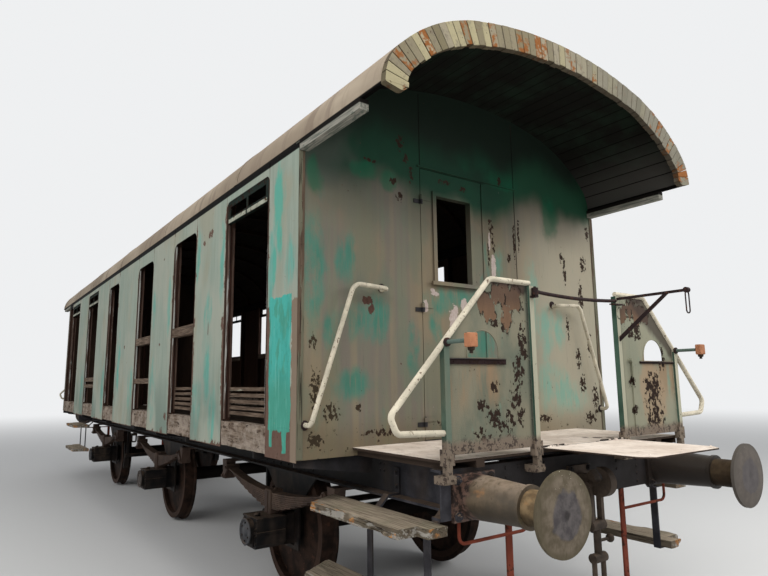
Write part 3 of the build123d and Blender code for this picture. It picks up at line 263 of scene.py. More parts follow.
# Places on the end walls, doors and fixed leaves, as (y, z, half y, half z)
END_GREEN = (
    (-1.375, 2.97, 0.05, 0.11), (-0.98, 3.08, 0.11, 0.06), (0.06, 3.42, 0.26, 0.14),
    (0.3, 3.26, 0.18, 0.08), (0.9, 3.02, 0.1, 0.18), (-0.8, 3.04, 0.06, 0.07)
)
END_SOFT = (
    (-1.385, 2.36, 0.08, 0.36), (-1.06, 2.04, 0.15, 0.1), (-0.9, 2.06, 0.08, 0.14),
    (-1.27, 1.98, 0.035, 0.1), (-1.1, 1.64, 0.12, 0.09), (-0.6, 1.88, 0.04, 0.16),
    (-1.15, 2.44, 0.06, 0.16), (0.86, 1.6, 0.18, 0.18), (0.62, 2.26, 0.07, 0.3), (1.12, 1.52, 0.14, 0.12),
    (0.96, 2.07, 0.06, 0.14), (0.78, 2.04, 0.1, 0.2)
)
END_FLAKES = (
    (-0.69, 3.34, 0.05, 0.1), (-0.65, 3.23, 0.05, 0.06), (-0.76, 3.05, 0.05, 0.05), (-0.6, 3.12, 0.03, 0.1),
    (-0.95, 3.155, 0.09, 0.022), (-0.7, 2.94, 0.05, 0.05), (-1.36, 1.62, 0.06, 0.18),
    (-1.25, 1.48, 0.09, 0.09), (-1.38, 1.9, 0.04, 0.08), (-1.06, 1.5, 0.05, 0.04),
    (-1.36, 1.32, 0.09, 0.07), (-0.9, 1.34, 0.2, 0.04), (1.06, 2.56, 0.035, 0.2), (1.02, 2.7, 0.04, 0.08),
    (1.26, 2.36, 0.05, 0.24), (1.32, 2.66, 0.06, 0.12), (1.34, 1.96, 0.05, 0.16), (1.18, 1.84, 0.05, 0.14),
    (1.22, 1.62, 0.07, 0.12), (1.38, 1.5, 0.06, 0.18), (1.4, 2.96, 0.05, 0.1), (1.06, 2.1, 0.03, 0.16),
    (0.5, 2.84, 0.02, 0.2), (0.3, 3.24, 0.03, 0.09), (0.1, 3.16, 0.08, 0.03), (1.3, 1.34, 0.12, 0.08),
    (0.7, 1.36, 0.14, 0.05)
)
END_RUST = ((-0.985, 2.185, 0.06, 0.045), (-0.95, 2.13, 0.03, 0.05))
DOOR_TEAL = (
    (-0.36, 2.22, 0.14, 0.09), (-0.18, 2.26, 0.14, 0.06), (-0.02, 2.22, 0.08, 0.1),
    (0.06, 1.95, 0.15, 0.16), (0.11, 2.46, 0.03, 0.22), (0.24, 2.34, 0.05, 0.26), (-0.4, 2.06, 0.05, 0.12),
    (-0.1, 1.8, 0.1, 0.08)
)
DOOR_PEEL = (
    (-0.22, 2.08, 0.07, 0.15), (-0.12, 2.2, 0.045, 0.08), (-0.4, 2.275, 0.05, 0.02),
    (0.2, 2.52, 0.034, 0.15), (0.165, 2.72, 0.014, 0.1), (0.23, 2.42, 0.04, 0.06),
    (-0.49, 2.18, 0.03, 0.07), (-0.42, 2.3, 0.03, 0.02)
)
DOOR_FLAKES = (
    (0.185, 2.84, 0.045, 0.12), (0.205, 2.7, 0.03, 0.12), (0.15, 2.62, 0.02, 0.14),
    (-0.28, 3.12, 0.1, 0.03), (-0.1, 3.1, 0.05, 0.03), (0.445, 2.75, 0.025, 0.24), (0.38, 2.62, 0.03, 0.07),
    (-0.3, 1.36, 0.2, 0.05), (0.28, 1.36, 0.14, 0.06)
)


def side_paint():
    """Chalky green sheet with the old teal coat and primer showing; bare rust inside."""
    s = Shader("side_paint")
    side = s.y.sign()
    along = s.x * side * -1
    streak = s.noise(0.045, 1, 0.07)
    fine = s.noise(0.014, 1.6, 0.06, 3)
    broad = s.noise(0.4, 2, 0.5, 3, 0.5)
    colour = s.mix(streak.step(0.3, 0.66), (136, 148, 136), (147, 157, 145))
    colour.lay(broad.step(0.42, 0.64) * 0.7, (158, 160, 147))
    colour.lay(s.noise(0.3, 5, 0.5, rough=0.5).step(0.5, 0.68) * 0.5, (150, 144, 124))
    colour.lay(s.chips(0.34, 0.3, 11, 0.35, 0.18) * 0.5, (116, 150, 138))
    soft = s.patches(along, s.z, SIDE_SOFT, 0.9, 0.13, 7, 1.6, 0.12)
    soft = soft * s.noise(0.13, 7.5, 0.35, 5, 0.65).step(0.34, 0.56)
    tone = s.mix(fine.step(0.36, 0.64), (76, 150, 136), (96, 166, 154))
    colour.lay(soft * streak.step(0.2, 0.54) * 0.8, tone)
    strong = s.patches(along, s.z, SIDE_STRONG, 0.9, 0.09, 7.7, 1.3, 0.05)
    strong = strong * s.noise(0.1, 7.9, 0.3, 5, 0.65).step(0.28, 0.48)
    colour.lay(strong * 0.85, (84, 160, 144))
    colour.lay(fine.step(0.62, 0.74) * 0.22, (104, 112, 100))
    colour.lay(s.z.step(1.95, 1.25) * broad.step(0.56, 0.4) * 0.7, (108, 124, 114))
    colour.lay(s.chips(0.16, 0.16, 12, 0.5, 0.12) * 0.5, (112, 114, 104))
    marks = [mark for start, width, _, _ in OPENINGS for mark in (start, start + width)]
    edge = reduce(and_, [abs(s.x - (END - mark)) for mark in marks]) & (s.z - 1.199) * 0.5
    rim = (edge - s.noise(0.09, 9, 0.6, 5, 0.68).step(0.5, 0.82) * 0.06).step(0.0045, 0.001)
    bare = s.clusters(along, s.z, SIDE_BARE, 0.035, 15, 0.36, 0.7)
    panel = s.panels(along, s.z, PRIMER_PANELS, 0.13, 0.1, 16, 0.003, 0.5)
    primer = rim | bare | panel | s.chips(0.04, 0.03, 21)
    brown = s.mix(s.noise(0.05, 17), (88, 66, 58), (112, 92, 82))
    brown.lay(s.chips(0.035, 0.22, 18) * 0.7, (66, 48, 40))
    brown.lay(along.step(4.596, 4.612) * 0.75, (138, 124, 108))
    colour.lay(primer, brown)
    teal = s.panels(along, s.z, TEAL_PANELS, 0.075, 0.07, 22, 0.0025, 0.45)
    teal = teal * (1 - s.chips(0.035, 0.05, 24))
    coat = s.mix(s.noise(0.1, 28, 0.4).step(0.34, 0.62), (62, 148, 136), (76, 168, 157))
    coat.lay((s.z.step(1.8, 1.56) | s.noise(0.08, 29, 0.5).step(0.5, 0.6)) * 0.75, (74, 142, 122))
    coat.lay(fine.step(0.54, 0.68) * 0.5, (118, 184, 172))
    coat.lay(s.chips(0.018, 0.16, 30, 0.5) * 0.6, (70, 92, 80))
    colour.lay(teal, coat)
    run = s.noise(0.02, 19, 0.04, 3, 0.5).step(0.63, 0.74) * s.chips(0.5, 0.4, 20) * 0.4
    colour.lay(run, (116, 100, 80))
    # Painted shade: a near-black band along the top of the sheets, where the eave shades them.
    colour.lay(s.z.step(3.118, 3.126), (9, 9, 8))
    colour.lay((s.ny * side).step(0.2, -0.2), s.mix(s.noise(0.2, 23, 0.4, 5), (30, 22, 18), (66, 46, 36)))
    film = 1 + teal * 0.8 - primer
    height = s.noise(0.35, 25, 0.7, 3, 0.45) * 3.4 + (film * 0.35 + s.noise(0.01, 27, rough=0.7) * 0.5)
    s.done(colour, primer * 0.2 + 0.6, height, 0.0035, 0.7, 0.02)


def end_paint(name, teal_rows, flake_rows, low_tone, high_tone, peel_rows=None):
    """Olive brown end sheets, dark green under the roof and painted shade near black at the top, soft teal
    and black flakes.
    """
    s = Shader(name)
    end = s.x.sign()
    across = s.y * end
    broad = s.noise(0.5, 31, 0.5, 3, 0.5)
    band = s.noise(0.11, 32, 0.035, 2, 0.5)
    fine = s.noise(0.014, 32.5, 0.06, 3)
    colour = s.mix(band.step(0.36, 0.5), low_tone, (116, 110, 100))
    colour.lay(band.step(0.5, 0.64) * 0.8, (116, 119, 101))
    colour.lay(broad.step(0.42, 0.62) * 0.6, (136, 121, 96))
    colour.lay(s.noise(0.32, 31.5, 0.6).step(0.46, 0.62) * 0.5, (106, 114, 98))
    colour.lay(across.step(0.25, 0.9) * 0.75, high_tone)
    colour.lay(fine.step(0.6, 0.74) * 0.2, (78, 76, 66))
    soft = s.patches(across, s.z, teal_rows, 1, 0.18, 34, 2.4, 0.16)
    soft = soft * s.noise(0.14, 34.5, 0.45, 5, 0.66).step(0.32, 0.58)
    tone = s.mix(s.noise(0.09, 36, 0.3), (40, 104, 88), (78, 138, 122))
    tone.lay(across.step(0, 0.6) * 0.7, (128, 172, 156))
    colour.lay(soft * fine.step(0.2, 0.48) * 0.85, tone)
    colour.lay(s.chips(0.22, 0.26, 35, 0.4, 0.14) * 0.3, (78, 128, 114))
    colour.lay(s.z.step(1.5, 1.27) * 0.45, (94, 80, 60))
    high = (broad - 0.5) * 0.5 + s.z
    high = across.step(0.2, 0.9) * -0.12 + high
    green = s.mix(s.noise(0.3, 33), (34, 54, 44), (30, 74, 54))
    colour.lay(high.step(2.62, 2.95) * 0.45, (76, 72, 66))
    colour.lay(high.step(2.86, 3.08), green)
    colour.lay(high.step(2.86, 3) * across.step(-0.5, -0.9) * broad.step(0.4, 0.56) * 0.5, (88, 86, 82))
    # Painted light: the green brighter towards the right side, where the light falls.
    colour.lay(high.step(2.9, 3.1) * across.step(0.2, 0.6) * 0.5, (48, 88, 66))
    colour.lay(s.patches(across, s.z, END_GREEN, 0.9, 0.13, 46, 1.6, 0.14) * 0.6, (30, 94, 68))
    # Painted shade: near black at the top, under the canopy.
    colour.lay(high.step(3.16, 3.48), (34, 44, 37))
    if peel_rows:
        peel = s.clusters(across, s.z, peel_rows, 0.04, 45, 0.48, 0.72)
        colour.lay(peel, s.mix(s.noise(0.02, 45.5), (150, 128, 118), (206, 196, 190)))
    flakes = s.clusters(across, s.z, flake_rows, 0.025, 37, 0.29, 0.715)
    specks = s.chips(0.022, 0.12, 38, 0.6) * s.chips(0.45, 0.34, 39, soft=0.08)
    loose = flakes | specks | s.z.step(1.52, 1.24) * s.chips(0.04, 0.24, 40)
    deep = s.mix(s.noise(0.03, 42), (22, 20, 19), (70, 54, 44))
    deep.lay(across.step(-0.9, -1.2) * 0.8, (62, 54, 42))
    colour.lay(loose, deep)
    rust = s.clusters(across, s.z, END_RUST, 0.035, 47, 0.44, 0.72)
    colour.lay(rust, s.mix(s.noise(0.02, 48), (60, 46, 40), (98, 70, 60)))
    colour.lay((s.nx * end).step(0.2, -0.2), s.mix(s.noise(0.15, 49, 0.3, 5), (30, 22, 18), (70, 54, 44)))
    film = 1 - loose
    dent = s.noise(0.4, 43, detail=3, rough=0.45)
    height = dent * 3.4 + (film * 0.4 + s.noise(0.01, 44, rough=0.7) * 0.5)
    s.done(colour, loose * 0.25 + 0.55, height, 0.0035, 0.7)


def timber(name, dark, light, paint, share, axis, seed):
    """Bare weathered timber with grain along one axis and rests of paint."""
    s = Shader(name)
    stretch = {"x": (0.06, 1, 1), "y": (1, 0.06, 1), "z": (1, 1, 0.06)}[axis]
    grain = s.noise(0.012, seed, stretch, 5, 0.65)
    broad = s.noise(0.25, seed + 1, detail=3, rough=0.5)
    colour = s.mix(grain.step(0.3, 0.7), dark, light)
    colour.lay(broad.step(0.4, 0.7) * 0.5, dark)
    if paint:
        colour.lay(s.chips(0.05, share, seed + 2, stretch), paint)
    longer = [part * 0.4 if part < 1 else 1 for part in stretch]
    crack = s.noise(0.008, seed + 3, longer, 2, 0.5).step(0.4, 0.34)
    colour.lay(crack * 0.7, BLACK)
    s.done(colour, 0.82, grain - crack, 0.003, 0.8)


def greasy(name, base, second, dust, rust, rough, seed, metal=0, ends=None):
    """Old iron below the floor: grease, road dust on what faces up, rust in spots; given ends, painted shade
    under the body and the ends colour across the middle of the headstocks.
    """
    s = Shader(name)
    broad = s.noise(0.12, seed)
    colour = s.mix(broad.step(0.35, 0.7), base, second)
    colour.lay(s.chips(0.05, rust, seed + 1, soft=0.06) * 0.7, (84, 54, 40))
    up = s.nz.step(0.25, 0.85) * s.noise(0.07, seed + 2).step(0.28, 0.6) * dust
    colour.lay(up | s.noise(0.2, seed + 3, 0.3, 3, 0.5).step(0.48, 0.75) * 0.35, DUST)
    if ends:
        # Painted shade: the underframe darkened away from the ends, under the body, except on faces that
        # point up.
        colour.lay(abs(s.x).step(4.95, 4.5) * s.nz.step(0.9, 0.3) * 0.85, (24, 22, 20))
        colour.lay(abs(s.x).step(5.43, 5.49) * abs(s.y).step(1.09, 0.7) * 0.8, ends)
    height = s.noise(0.01, seed + 4) + broad * 0.6
    s.done(colour, up * 0.25 + rough, height, 0.0018, 0.55, 0.1, metal)


def roof_canvas():
    """Painted canvas outside; tarred boards that run along the coach inside."""
    s = Shader("roof_canvas")
    broad = s.noise(0.7, 80, (0.5, 1, 1), rough=0.55)
    streak = s.noise(0.1, 81, (1, 0.15, 0.15), 5)
    colour = s.mix(broad.step(0.36, 0.64), (142, 129, 113), (170, 157, 139))
    colour.lay(streak.step(0.48, 0.68) * 0.6, (120, 106, 94))
    colour.lay(s.chips(0.22, 0.16, 82, (1, 0.4, 0.4), 0.08) * 0.55, (88, 76, 66))
    inner = s.nz.step(0, -0.05)
    joint = abs((s.math("ARCTAN2", s.z - 1.95, s.y) * 62).sine()).step(0.14, 0.05)
    board = s.mix(s.noise(0.15, 83, (0.2, 1, 1), 5), (24, 20, 17), (46, 38, 31))
    ceiling = s.mix(s.noise(0.3, 84).step(0.4, 0.7), (24, 24, 21), (30, 40, 32))
    outside = abs(s.x).step(4.66, 4.68)
    ceiling.lay(s.z.step(3.62, 3.2) * s.across().step(0.2, 0.8) * 0.8, (76, 74, 71))
    board.lay(outside, ceiling)
    board.lay(joint, (10, 9, 8))
    colour.lay(inner, board)
    # Painted shade: the canvas's lowest edge near black, as the shadow line along the eave.
    colour.lay(s.z.step(3.192, 3.184), (9, 8, 7))
    weave = s.noise(0.006, 85, detail=2, rough=0.5)
    outer = s.noise(0.16, 86, (1.6, 0.3, 0.3), rough=0.55) * 2 + weave * 0.4
    height = s.add("ShaderNodeMix", {0: inner, 2: outer, 3: joint * -2.5}, data_type="FLOAT")
    s.done(colour, 0.85, height, 0.004, 0.7)


def fascia_wood():
    """Blocks of painted end grain; each block has its own tone and stain."""
    s = Shader("fascia_wood")
    tone = s.own("tone")
    stain = s.own("stain")
    grain = s.noise(0.01, 90, detail=5, rough=0.65)
    cloud = s.noise(0.045, 91, detail=5)
    colour = s.mix(tone, (116, 108, 86), (170, 161, 142))
    colour.lay(tone.step(0.55, 0.85) * 0.5, (150, 142, 98))
    colour.lay(s.across().step(-0.4, 0.7) * 0.7, (108, 107, 98))
    colour.lay(cloud.step(0.5, 0.68) * 0.7, (112, 104, 92))
    colour.lay((stain * 0.45 + (cloud - 0.5)).step(0.16, 0.3), (132, 84, 46))
    colour.lay(s.chips(0.025, 0.2, 92), (88, 74, 60))
    colour.lay(abs(s.nx).step(0.6, 0.2) * 0.75, (64, 54, 44))
    s.done(colour, 0.8, grain + cloud * 0.8, 0.003, 0.8)


def deck_cover():
    """Dusty sheet with scuffs, dark where its edge hangs down."""
    s = Shader("deck_cover")
    broad = s.noise(0.25, 100, detail=5)
    fine = s.noise(0.03, 101, (0.4, 1, 1))
    colour = s.mix(broad.step(0.34, 0.68), (202, 187, 173), (226, 214, 202))
    colour.lay(fine.step(0.52, 0.7) * 0.5, (138, 120, 106))
    colour.lay(s.chips(0.12, 0.14, 102, soft=0.08) * 0.6, (92, 74, 62))
    across = s.across()
    reach = abs(s.x)
    scars = ((5.285, 0.52, 0.05, 0.05), (5.33, 0.6, 0.04, 0.04), (5.22, 0.47, 0.03, 0.03))
    colour.lay(s.clusters(reach, across, scars, 0.022, 104, 0.4, 0.7), (52, 42, 36))
    ragged = (s.noise(0.06, 105, rough=0.7) - 0.5) * 0.05 + reach
    joint = ragged.step(5.515, 5.525) * ragged.step(5.568, 5.56) * abs(s.y).step(0.42, 0.41)
    colour.lay(joint, (34, 27, 23))
    colour.lay(s.nz.step(0.5, 0.1), s.mix(broad, (40, 34, 30), (74, 62, 54)))
    s.done(colour, 0.78, fine + broad * 1.5, 0.002, 0.6)


def railing_paint():
    """Olive sheet whose paint flakes to dark rust, dark green sides of the posts, bare feet."""
    s = Shader("railing_paint")
    across = s.across()
    broad = s.noise(0.2, 110, 0.6, rough=0.55)
    fine = s.noise(0.012, 110.5, 0.1, 3)
    colour = s.mix(broad.step(0.36, 0.64), (98, 103, 90), (122, 118, 101))
    colour.lay(across.step(0, 0.2) * 0.55, (150, 150, 130))
    colour.lay(s.chips(0.13, 0.3, 111, 0.5, 0.12) * 0.6, (96, 138, 122))
    orange = s.noise(0.07, 112, 0.14).step(0.36, 0.62)
    place = s.z.step(1.46, 1.62) * s.z.step(1.8, 1.76) * abs(s.y).step(0.66, 0.74)
    colour.lay(orange * place * 0.75, (142, 116, 90))
    colour.lay(fine.step(0.6, 0.72) * 0.3, (88, 84, 68))
    bare_rows = (
        (-0.6, 2.13, 0.1, 0.08), (-0.625, 2.03, 0.045, 0.09), (-0.78, 2.05, 0.05, 0.06),
        (0.55, 2.12, 0.1, 0.07), (0.7, 2.09, 0.08, 0.05)
    )
    spot_rows = (
        (-0.5, 1.88, 0.06, 0.16), (-0.66, 1.96, 0.035, 0.08), (-0.72, 1.98, 0.06, 0.05),
        (-0.74, 1.63, 0.05, 0.05), (-0.55, 1.72, 0.07, 0.14), (-0.58, 1.56, 0.06, 0.14),
        (-0.84, 1.54, 0.06, 0.06), (-0.75, 1.46, 0.1, 0.12), (-0.64, 1.43, 0.07, 0.1),
        (-0.84, 1.38, 0.09, 0.06), (-0.54, 1.46, 0.05, 0.08), (0.62, 1.98, 0.14, 0.09),
        (0.92, 1.8, 0.07, 0.14), (0.8, 1.58, 0.17, 0.22), (0.8, 1.4, 0.15, 0.12), (0.54, 1.64, 0.06, 0.06),
        (0.56, 1.46, 0.06, 0.05)
    )
    tan = s.patches(across, s.z, ((0.8, 1.54, 0.15, 0.28),), 0.8, 0.1, 113.3, 0.8, 0.08)
    colour.lay(tan * 0.8, (152, 132, 108))
    level = s.field(across, s.z, bare_rows, 2.1, 0.085, 113, 0.1)
    bare = level.step(0.5, 0.6)
    rim = level.step(-0.3, 0.3) * s.chips(0.028, 0.6, 113.8)
    spots = s.clusters(across, s.z, spot_rows, 0.026, 113.5, 0.3, 0.72)
    small = s.chips(0.018, 0.2, 114) * s.chips(0.22, 0.4, 115, soft=0.08)
    top = ((broad - 0.5) * 0.3 + s.z).step(2.16, 2.2)
    loose = (spots | small | rim) * (1 - bare)
    brown = s.mix(s.noise(0.06, 118.5, 0.3), (84, 66, 53), (128, 100, 78))
    brown.lay(s.z.step(2.02, 2.14) * 0.7, (74, 60, 52))
    colour.lay(bare, brown)
    # Painted shade: the sheet's top dark brown under the top rail.
    colour.lay(top * 0.9, (58, 46, 42))
    slope = across * 0.82 + ((broad - 0.5) * 0.16 + s.z)
    rimmed = slope.step(2.62, 2.68) * across.step(0.3, 0.4) * abs(s.nx).step(0.5, 0.7)
    colour.lay(rimmed * 0.8, (62, 52, 47))
    colour.lay(loose, s.mix(s.noise(0.02, 117), (22, 20, 19), (60, 46, 38)))
    y = abs(s.y)
    # Painted shade: a dark strip on the sheet beside each inner post, as shade in the recess.
    colour.lay(y.step(0.484, 0.446) * s.z.step(1.26, 1.34) * 0.85, (48, 58, 52))
    post = y.step(0.4, 0.404) * y.step(0.446, 0.442) | y.step(1.068, 1.072) * y.step(1.114, 1.11)
    flank = post * abs(s.ny).step(0.5, 0.7) * s.z.step(1.34, 1.36)
    colour.lay(flank * 0.9, s.mix(broad.step(0.4, 0.6), (50, 74, 64), (72, 98, 84)))
    # Painted light: the post fronts paler on the right railing and on the inner posts.
    front = post * abs(s.nx).step(0.5, 0.7) * (1 - loose)
    colour.lay(front * 0.75, s.mix(across.step(0, 0.2) | y.step(0.6, 0.5), (92, 108, 96), (180, 177, 156)))
    foot = ((broad - 0.5) * 0.1 + s.z).step(1.375, 1.33)
    colour.lay(foot * 0.9, s.mix(s.chips(0.025, 0.46, 118), (116, 102, 90), (66, 54, 50)))
    height = (1 - (loose | bare)) * 1.2 + s.noise(0.008, 119, rough=0.7)
    s.done(colour, loose * 0.2 + 0.58, height, 0.002, 0.8)


def chipped(name, paint, under, size, share, rough, seed):
    """Brushed paint over rust with chips through it."""
    s = Shader(name)
    broad = s.noise(0.1, seed)
    soiled = [part * 0.72 for part in rgb(*paint)[:3]] + [1]
    colour = s.mix(broad.step(0.35, 0.7), soiled, paint)
    loose = s.chips(size, share, seed + 1)
    colour.lay(loose, s.mix(s.noise(0.02, seed + 2, detail=3), under, DARK_RUST))
    height = 1 - loose + s.noise(0.006, seed + 3, detail=3) * 0.5
    s.done(colour, loose * 0.3 + rough, height, 0.0012, 0.7)


def buffer_grease():
    """Old grease and dust on the casings: yellow brown above, dark below, rust near the plate."""
    s = Shader("buffer_grease")
    across = s.across()
    broad = s.noise(0.14, 140)
    colour = s.mix(broad.step(0.34, 0.66), (70, 61, 49), (100, 86, 68))
    colour.lay(s.chips(0.11, 0.26, 141, soft=0.16) * 0.75, (146, 104, 66))
    colour.lay(s.chips(0.16, 0.26, 141.5, soft=0.12) * 0.6, (98, 90, 66))
    colour.lay(s.nz.step(0.25, -0.6) * 0.8, (44, 38, 30))
    colour.lay(s.nz.step(0.35, 0.95) * s.noise(0.05, 142).step(0.3, 0.6) * 0.7, (146, 130, 114))
    colour.lay(s.chips(0.03, 0.24, 143, 0.35) * 0.6, (58, 48, 38))
    root = ((broad - 0.5) * 0.16 + abs(s.x)).step(5.6, 5.56)
    colour.lay(root, s.mix(s.noise(0.03, 145, rough=0.65).step(0.44, 0.58), (40, 32, 29), (98, 76, 66)))
    colour.lay(across.step(0, 0.3) * 0.95, (30, 24, 20))
    s.done(colour, 0.5, s.noise(0.012, 144), 0.002, 0.6, 0.3)


def buffer_head():
    """Plunger and plate: dried grease round a blue grey worn middle."""
    s = Shader("buffer_head")
    across = s.across()
    y = abs(s.y) - BUFFER_Y
    z = s.z - 1.066
    reach = (y * y + z * z).root()
    cloud = s.noise(0.05, 150, detail=5)
    reach = (s.noise(0.07, 150.5, detail=2, rough=0.5) - 0.5) * 0.04 + ((cloud - 0.5) * 0.045 + reach)
    ring = s.mix(cloud.step(0.3, 0.7), (84, 76, 63), (110, 100, 87))
    ring.lay(reach.step(0.155, 0.185) * 0.6, (76, 70, 54))
    streak = s.noise(0.02, 153, 0.2)
    ring.lay(streak.step(0.55, 0.7) * 0.5, (74, 68, 54))
    worn = s.mix(s.noise(0.05, 151).step(0.35, 0.65), (66, 63, 66), (90, 86, 86))
    worn.lay(reach.step(0.03, 0.012), (50, 48, 50))
    colour = s.mix(reach.step(0.112, 0.092) * 0.9, ring, worn)
    colour.lay(s.chips(0.012, 0.16, 152) * s.z.step(1.15, 1.2) * streak.step(0.4, 0.55), (196, 190, 172))
    colour.lay(across.step(0, 0.3) * 0.6, (88, 84, 84))
    shaft = abs(s.x).step(6.072, 6.066)
    wood = s.mix(cloud.step(0.35, 0.65), (96, 80, 60), (132, 112, 84))
    wood.lay(s.chips(0.09, 0.3, 154, soft=0.14) * 0.7, (148, 112, 76))
    wood.lay(s.nz.step(0.2, -0.7) * 0.8, (44, 38, 30))
    wood.lay(across.step(0, 0.3) * 0.8, (38, 31, 26))
    colour.lay(shaft, wood)
    s.done(colour, 0.6, cloud, 0.0015, 0.5, metal=0.1)


def wheel_steel():
    """Brown rust with a rubbed tread and oily hub."""
    s = Shader("wheel_steel")
    z = s.z - AXLE_Z
    pitch = s.x - (s.x / AXLES[-1]).whole() * AXLES[-1]
    reach = (pitch * pitch + z * z).root()
    colour = s.mix(s.noise(0.12, 160).step(0.35, 0.65), (30, 24, 21), (54, 40, 33))
    colour.lay(s.chips(0.05, 0.2, 161) * 0.5, (84, 56, 42))
    colour.lay(reach.step(0.2, 0.12) * 0.85, BLACK)
    colour.lay(reach.step(0.435, 0.445) * reach.step(0.497, 0.49) * 0.5, (66, 50, 42))
    s.done(colour, 0.62, s.noise(0.012, 162), 0.0015, 0.5, metal=0.1)


def rotten_sill():
    """Grey brown timber, gone pale and soft."""
    s = Shader("rotten_sill")
    grain = s.noise(0.018, 170, (0.12, 1, 1), 6, 0.7)
    broad = s.noise(0.12, 171, detail=5, rough=0.65)
    colour = s.mix(grain.step(0.3, 0.68), (70, 54, 44), (140, 126, 112))
    colour.lay(broad.step(0.42, 0.62) * 0.75, (158, 146, 134))
    colour.lay(s.chips(0.05, 0.28, 172, (0.4, 1, 1)) * 0.85, (46, 34, 28))
    s.done(colour, 0.9, grain + broad, 0.01, 0.9)


def step_wood():
    """Grey split planks with moss on top and broken edges of orange wood and old white paint."""
    s = Shader("step_wood")
    edge = s.own("edge")
    grain = s.noise(0.012, 180, (0.05, 1, 1), 6, 0.65)
    broad = s.noise(0.16, 181, rough=0.55)
    colour = s.mix(grain.step(0.3, 0.7), (116, 105, 90), (160, 147, 129))
    colour.lay(s.across().step(-0.2, 0.2) * 0.6, (190, 174, 152))
    colour.lay(broad.step(0.46, 0.66) * 0.5, (126, 121, 101))
    colour.lay(s.chips(0.02, 0.12, 184) * s.chips(0.2, 0.3, 185, soft=0.1), (96, 58, 38))
    colour.lay(abs(s.nz).step(0.7, 0.4) * 0.75, (72, 64, 54))
    rough = (s.noise(0.05, 182) - 0.5) * 1.1 + edge
    fresh = s.mix(grain.step(0.4, 0.6), (140, 88, 46), (178, 132, 84))
    colour.lay(rough.step(0.56, 0.66) * s.chips(0.16, 0.42, 186, soft=0.06), fresh)
    white = rough.step(0.8, 0.9) * s.noise(0.03, 187, (0.12, 1, 1), rough=0.65).step(0.49, 0.56)
    colour.lay(white * 0.75, (158, 154, 146))
    crack = s.noise(0.007, 183, (0.025, 1, 1), 3, 0.5).step(0.4, 0.35)
    colour.lay(crack * 0.8, (38, 30, 24))
    colour.lay(s.nz.step(-0.3, -0.7), (56, 46, 38))
    s.done(colour, 0.85, grain - crack, 0.005, 0.9)


def edge_paint():
    """Cant rails: black under the roof along the wall, which is painted shade of the eave, and pale ends
    under the canopy.
    """
    s = Shader("edge_paint")
    grain = s.noise(0.012, 190, (0.06, 1, 1), 5)
    colour = s.mix(grain.step(0.35, 0.65), (98, 102, 94), (150, 146, 136))
    colour.lay(s.chips(0.05, 0.28, 191, (0.3, 1, 1)) * 0.7, (84, 92, 84))
    # Painted shade: black along the wall and at the top, under the eave.
    colour.lay(abs(s.x).step(4.69, 4.67) | s.z.step(3.144, 3.15), (22, 20, 18))
    s.done(colour, 0.8, grain, 0.002, 0.7)


side_paint()
end_paint("end_paint", END_SOFT, END_FLAKES, (128, 119, 101), (168, 161, 142))
end_paint("door_paint", DOOR_TEAL, DOOR_FLAKES, (126, 119, 103), (126, 120, 104), DOOR_PEEL)
edge_paint()
rotten_sill()
deck_cover()
roof_canvas()
fascia_wood()
railing_paint()
wheel_steel()
buffer_grease()
buffer_head()
step_wood()

for finish in (
    ("frame_timber", (44, 32, 26), (74, 56, 46), (120, 108, 92), 0.1, "z", 210),
    ("roof_timber", (30, 22, 18), (58, 44, 34), None, 0, "y", 214),
    ("rail_timber", (70, 56, 46), (128, 112, 98), (150, 148, 132), 0.22, "x", 218),
    ("mould_timber", (64, 48, 42), (104, 86, 76), (168, 162, 150), 0.28, "z", 222),
    ("corner_timber", (76, 62, 52), (104, 90, 76), (104, 102, 86), 0.6, "z", 282),
    ("batten_pale", (88, 72, 64), (116, 98, 88), (172, 172, 166), 0.55, "z", 290),
    ("batten_dark", (30, 24, 22), (70, 46, 40), None, 0, "z", 294),
    ("floor_boards", (36, 28, 23), (82, 68, 56), None, 0, "x", 226),
):
    timber(*finish)

for finish in (
    ("hook_iron", (50, 43, 37), (80, 69, 60), 0.6, 0.14, 0.6, 306),
    ("cover_grey", (52, 53, 56), (76, 76, 78), 0.5, 0.1, 0.6, 286),
    ("frame_iron", (46, 46, 50), (70, 69, 74), 0.8, 0.08, 0.6, 246, 0, (26, 22, 19)),
    ("running_gear", (17, 17, 18), (38, 32, 29), 0.45, 0.1, 0.55, 254),
    ("spring_steel", (54, 43, 38), (78, 63, 55), 0.45, 0.12, 0.6, 262),
    ("hose_rubber", (30, 29, 28), (48, 45, 42), 0.5, 0, 0.75, 270),
    # Near black: dark joints and holes, and the painted shadow strips beside the canvas laps.
    ("black_gap", (14, 13, 12), (24, 21, 19), 0, 0, 0.9, 274),
    ("grey_bolt", (62, 60, 58), (92, 82, 72), 0.4, 0.3, 0.5, 278, 0.2),
):
    greasy(*finish)

for finish in (
    ("hood_paint", (30, 40, 35), (20, 17, 15), 0.04, 0.45, 0.75, 200),
    ("hood_pale", (168, 170, 154), (96, 76, 60), 0.03, 0.34, 0.65, 205),
    ("post_grey", (96, 112, 104), (74, 60, 50), 0.02, 0.22, 0.6, 298),
    ("ledge_iron", (46, 34, 34), (28, 22, 20), 0.02, 0.4, 0.7, 302),
    ("post_paint", (84, 98, 84), (84, 62, 46), 0.04, 0.16, 0.6, 230),
    ("rail_white", (212, 203, 182), (128, 104, 86), 0.018, 0.26, 0.5, 234),
    ("lamp_paint", (180, 124, 92), (120, 76, 54), 0.015, 0.2, 0.65, 238),
    ("dark_paint", (50, 40, 40), (86, 58, 48), 0.03, 0.34, 0.6, 242),
    ("rust_iron", (120, 62, 48), (74, 44, 34), 0.05, 0.3, 0.7, 266),
):
    chipped(*finish)

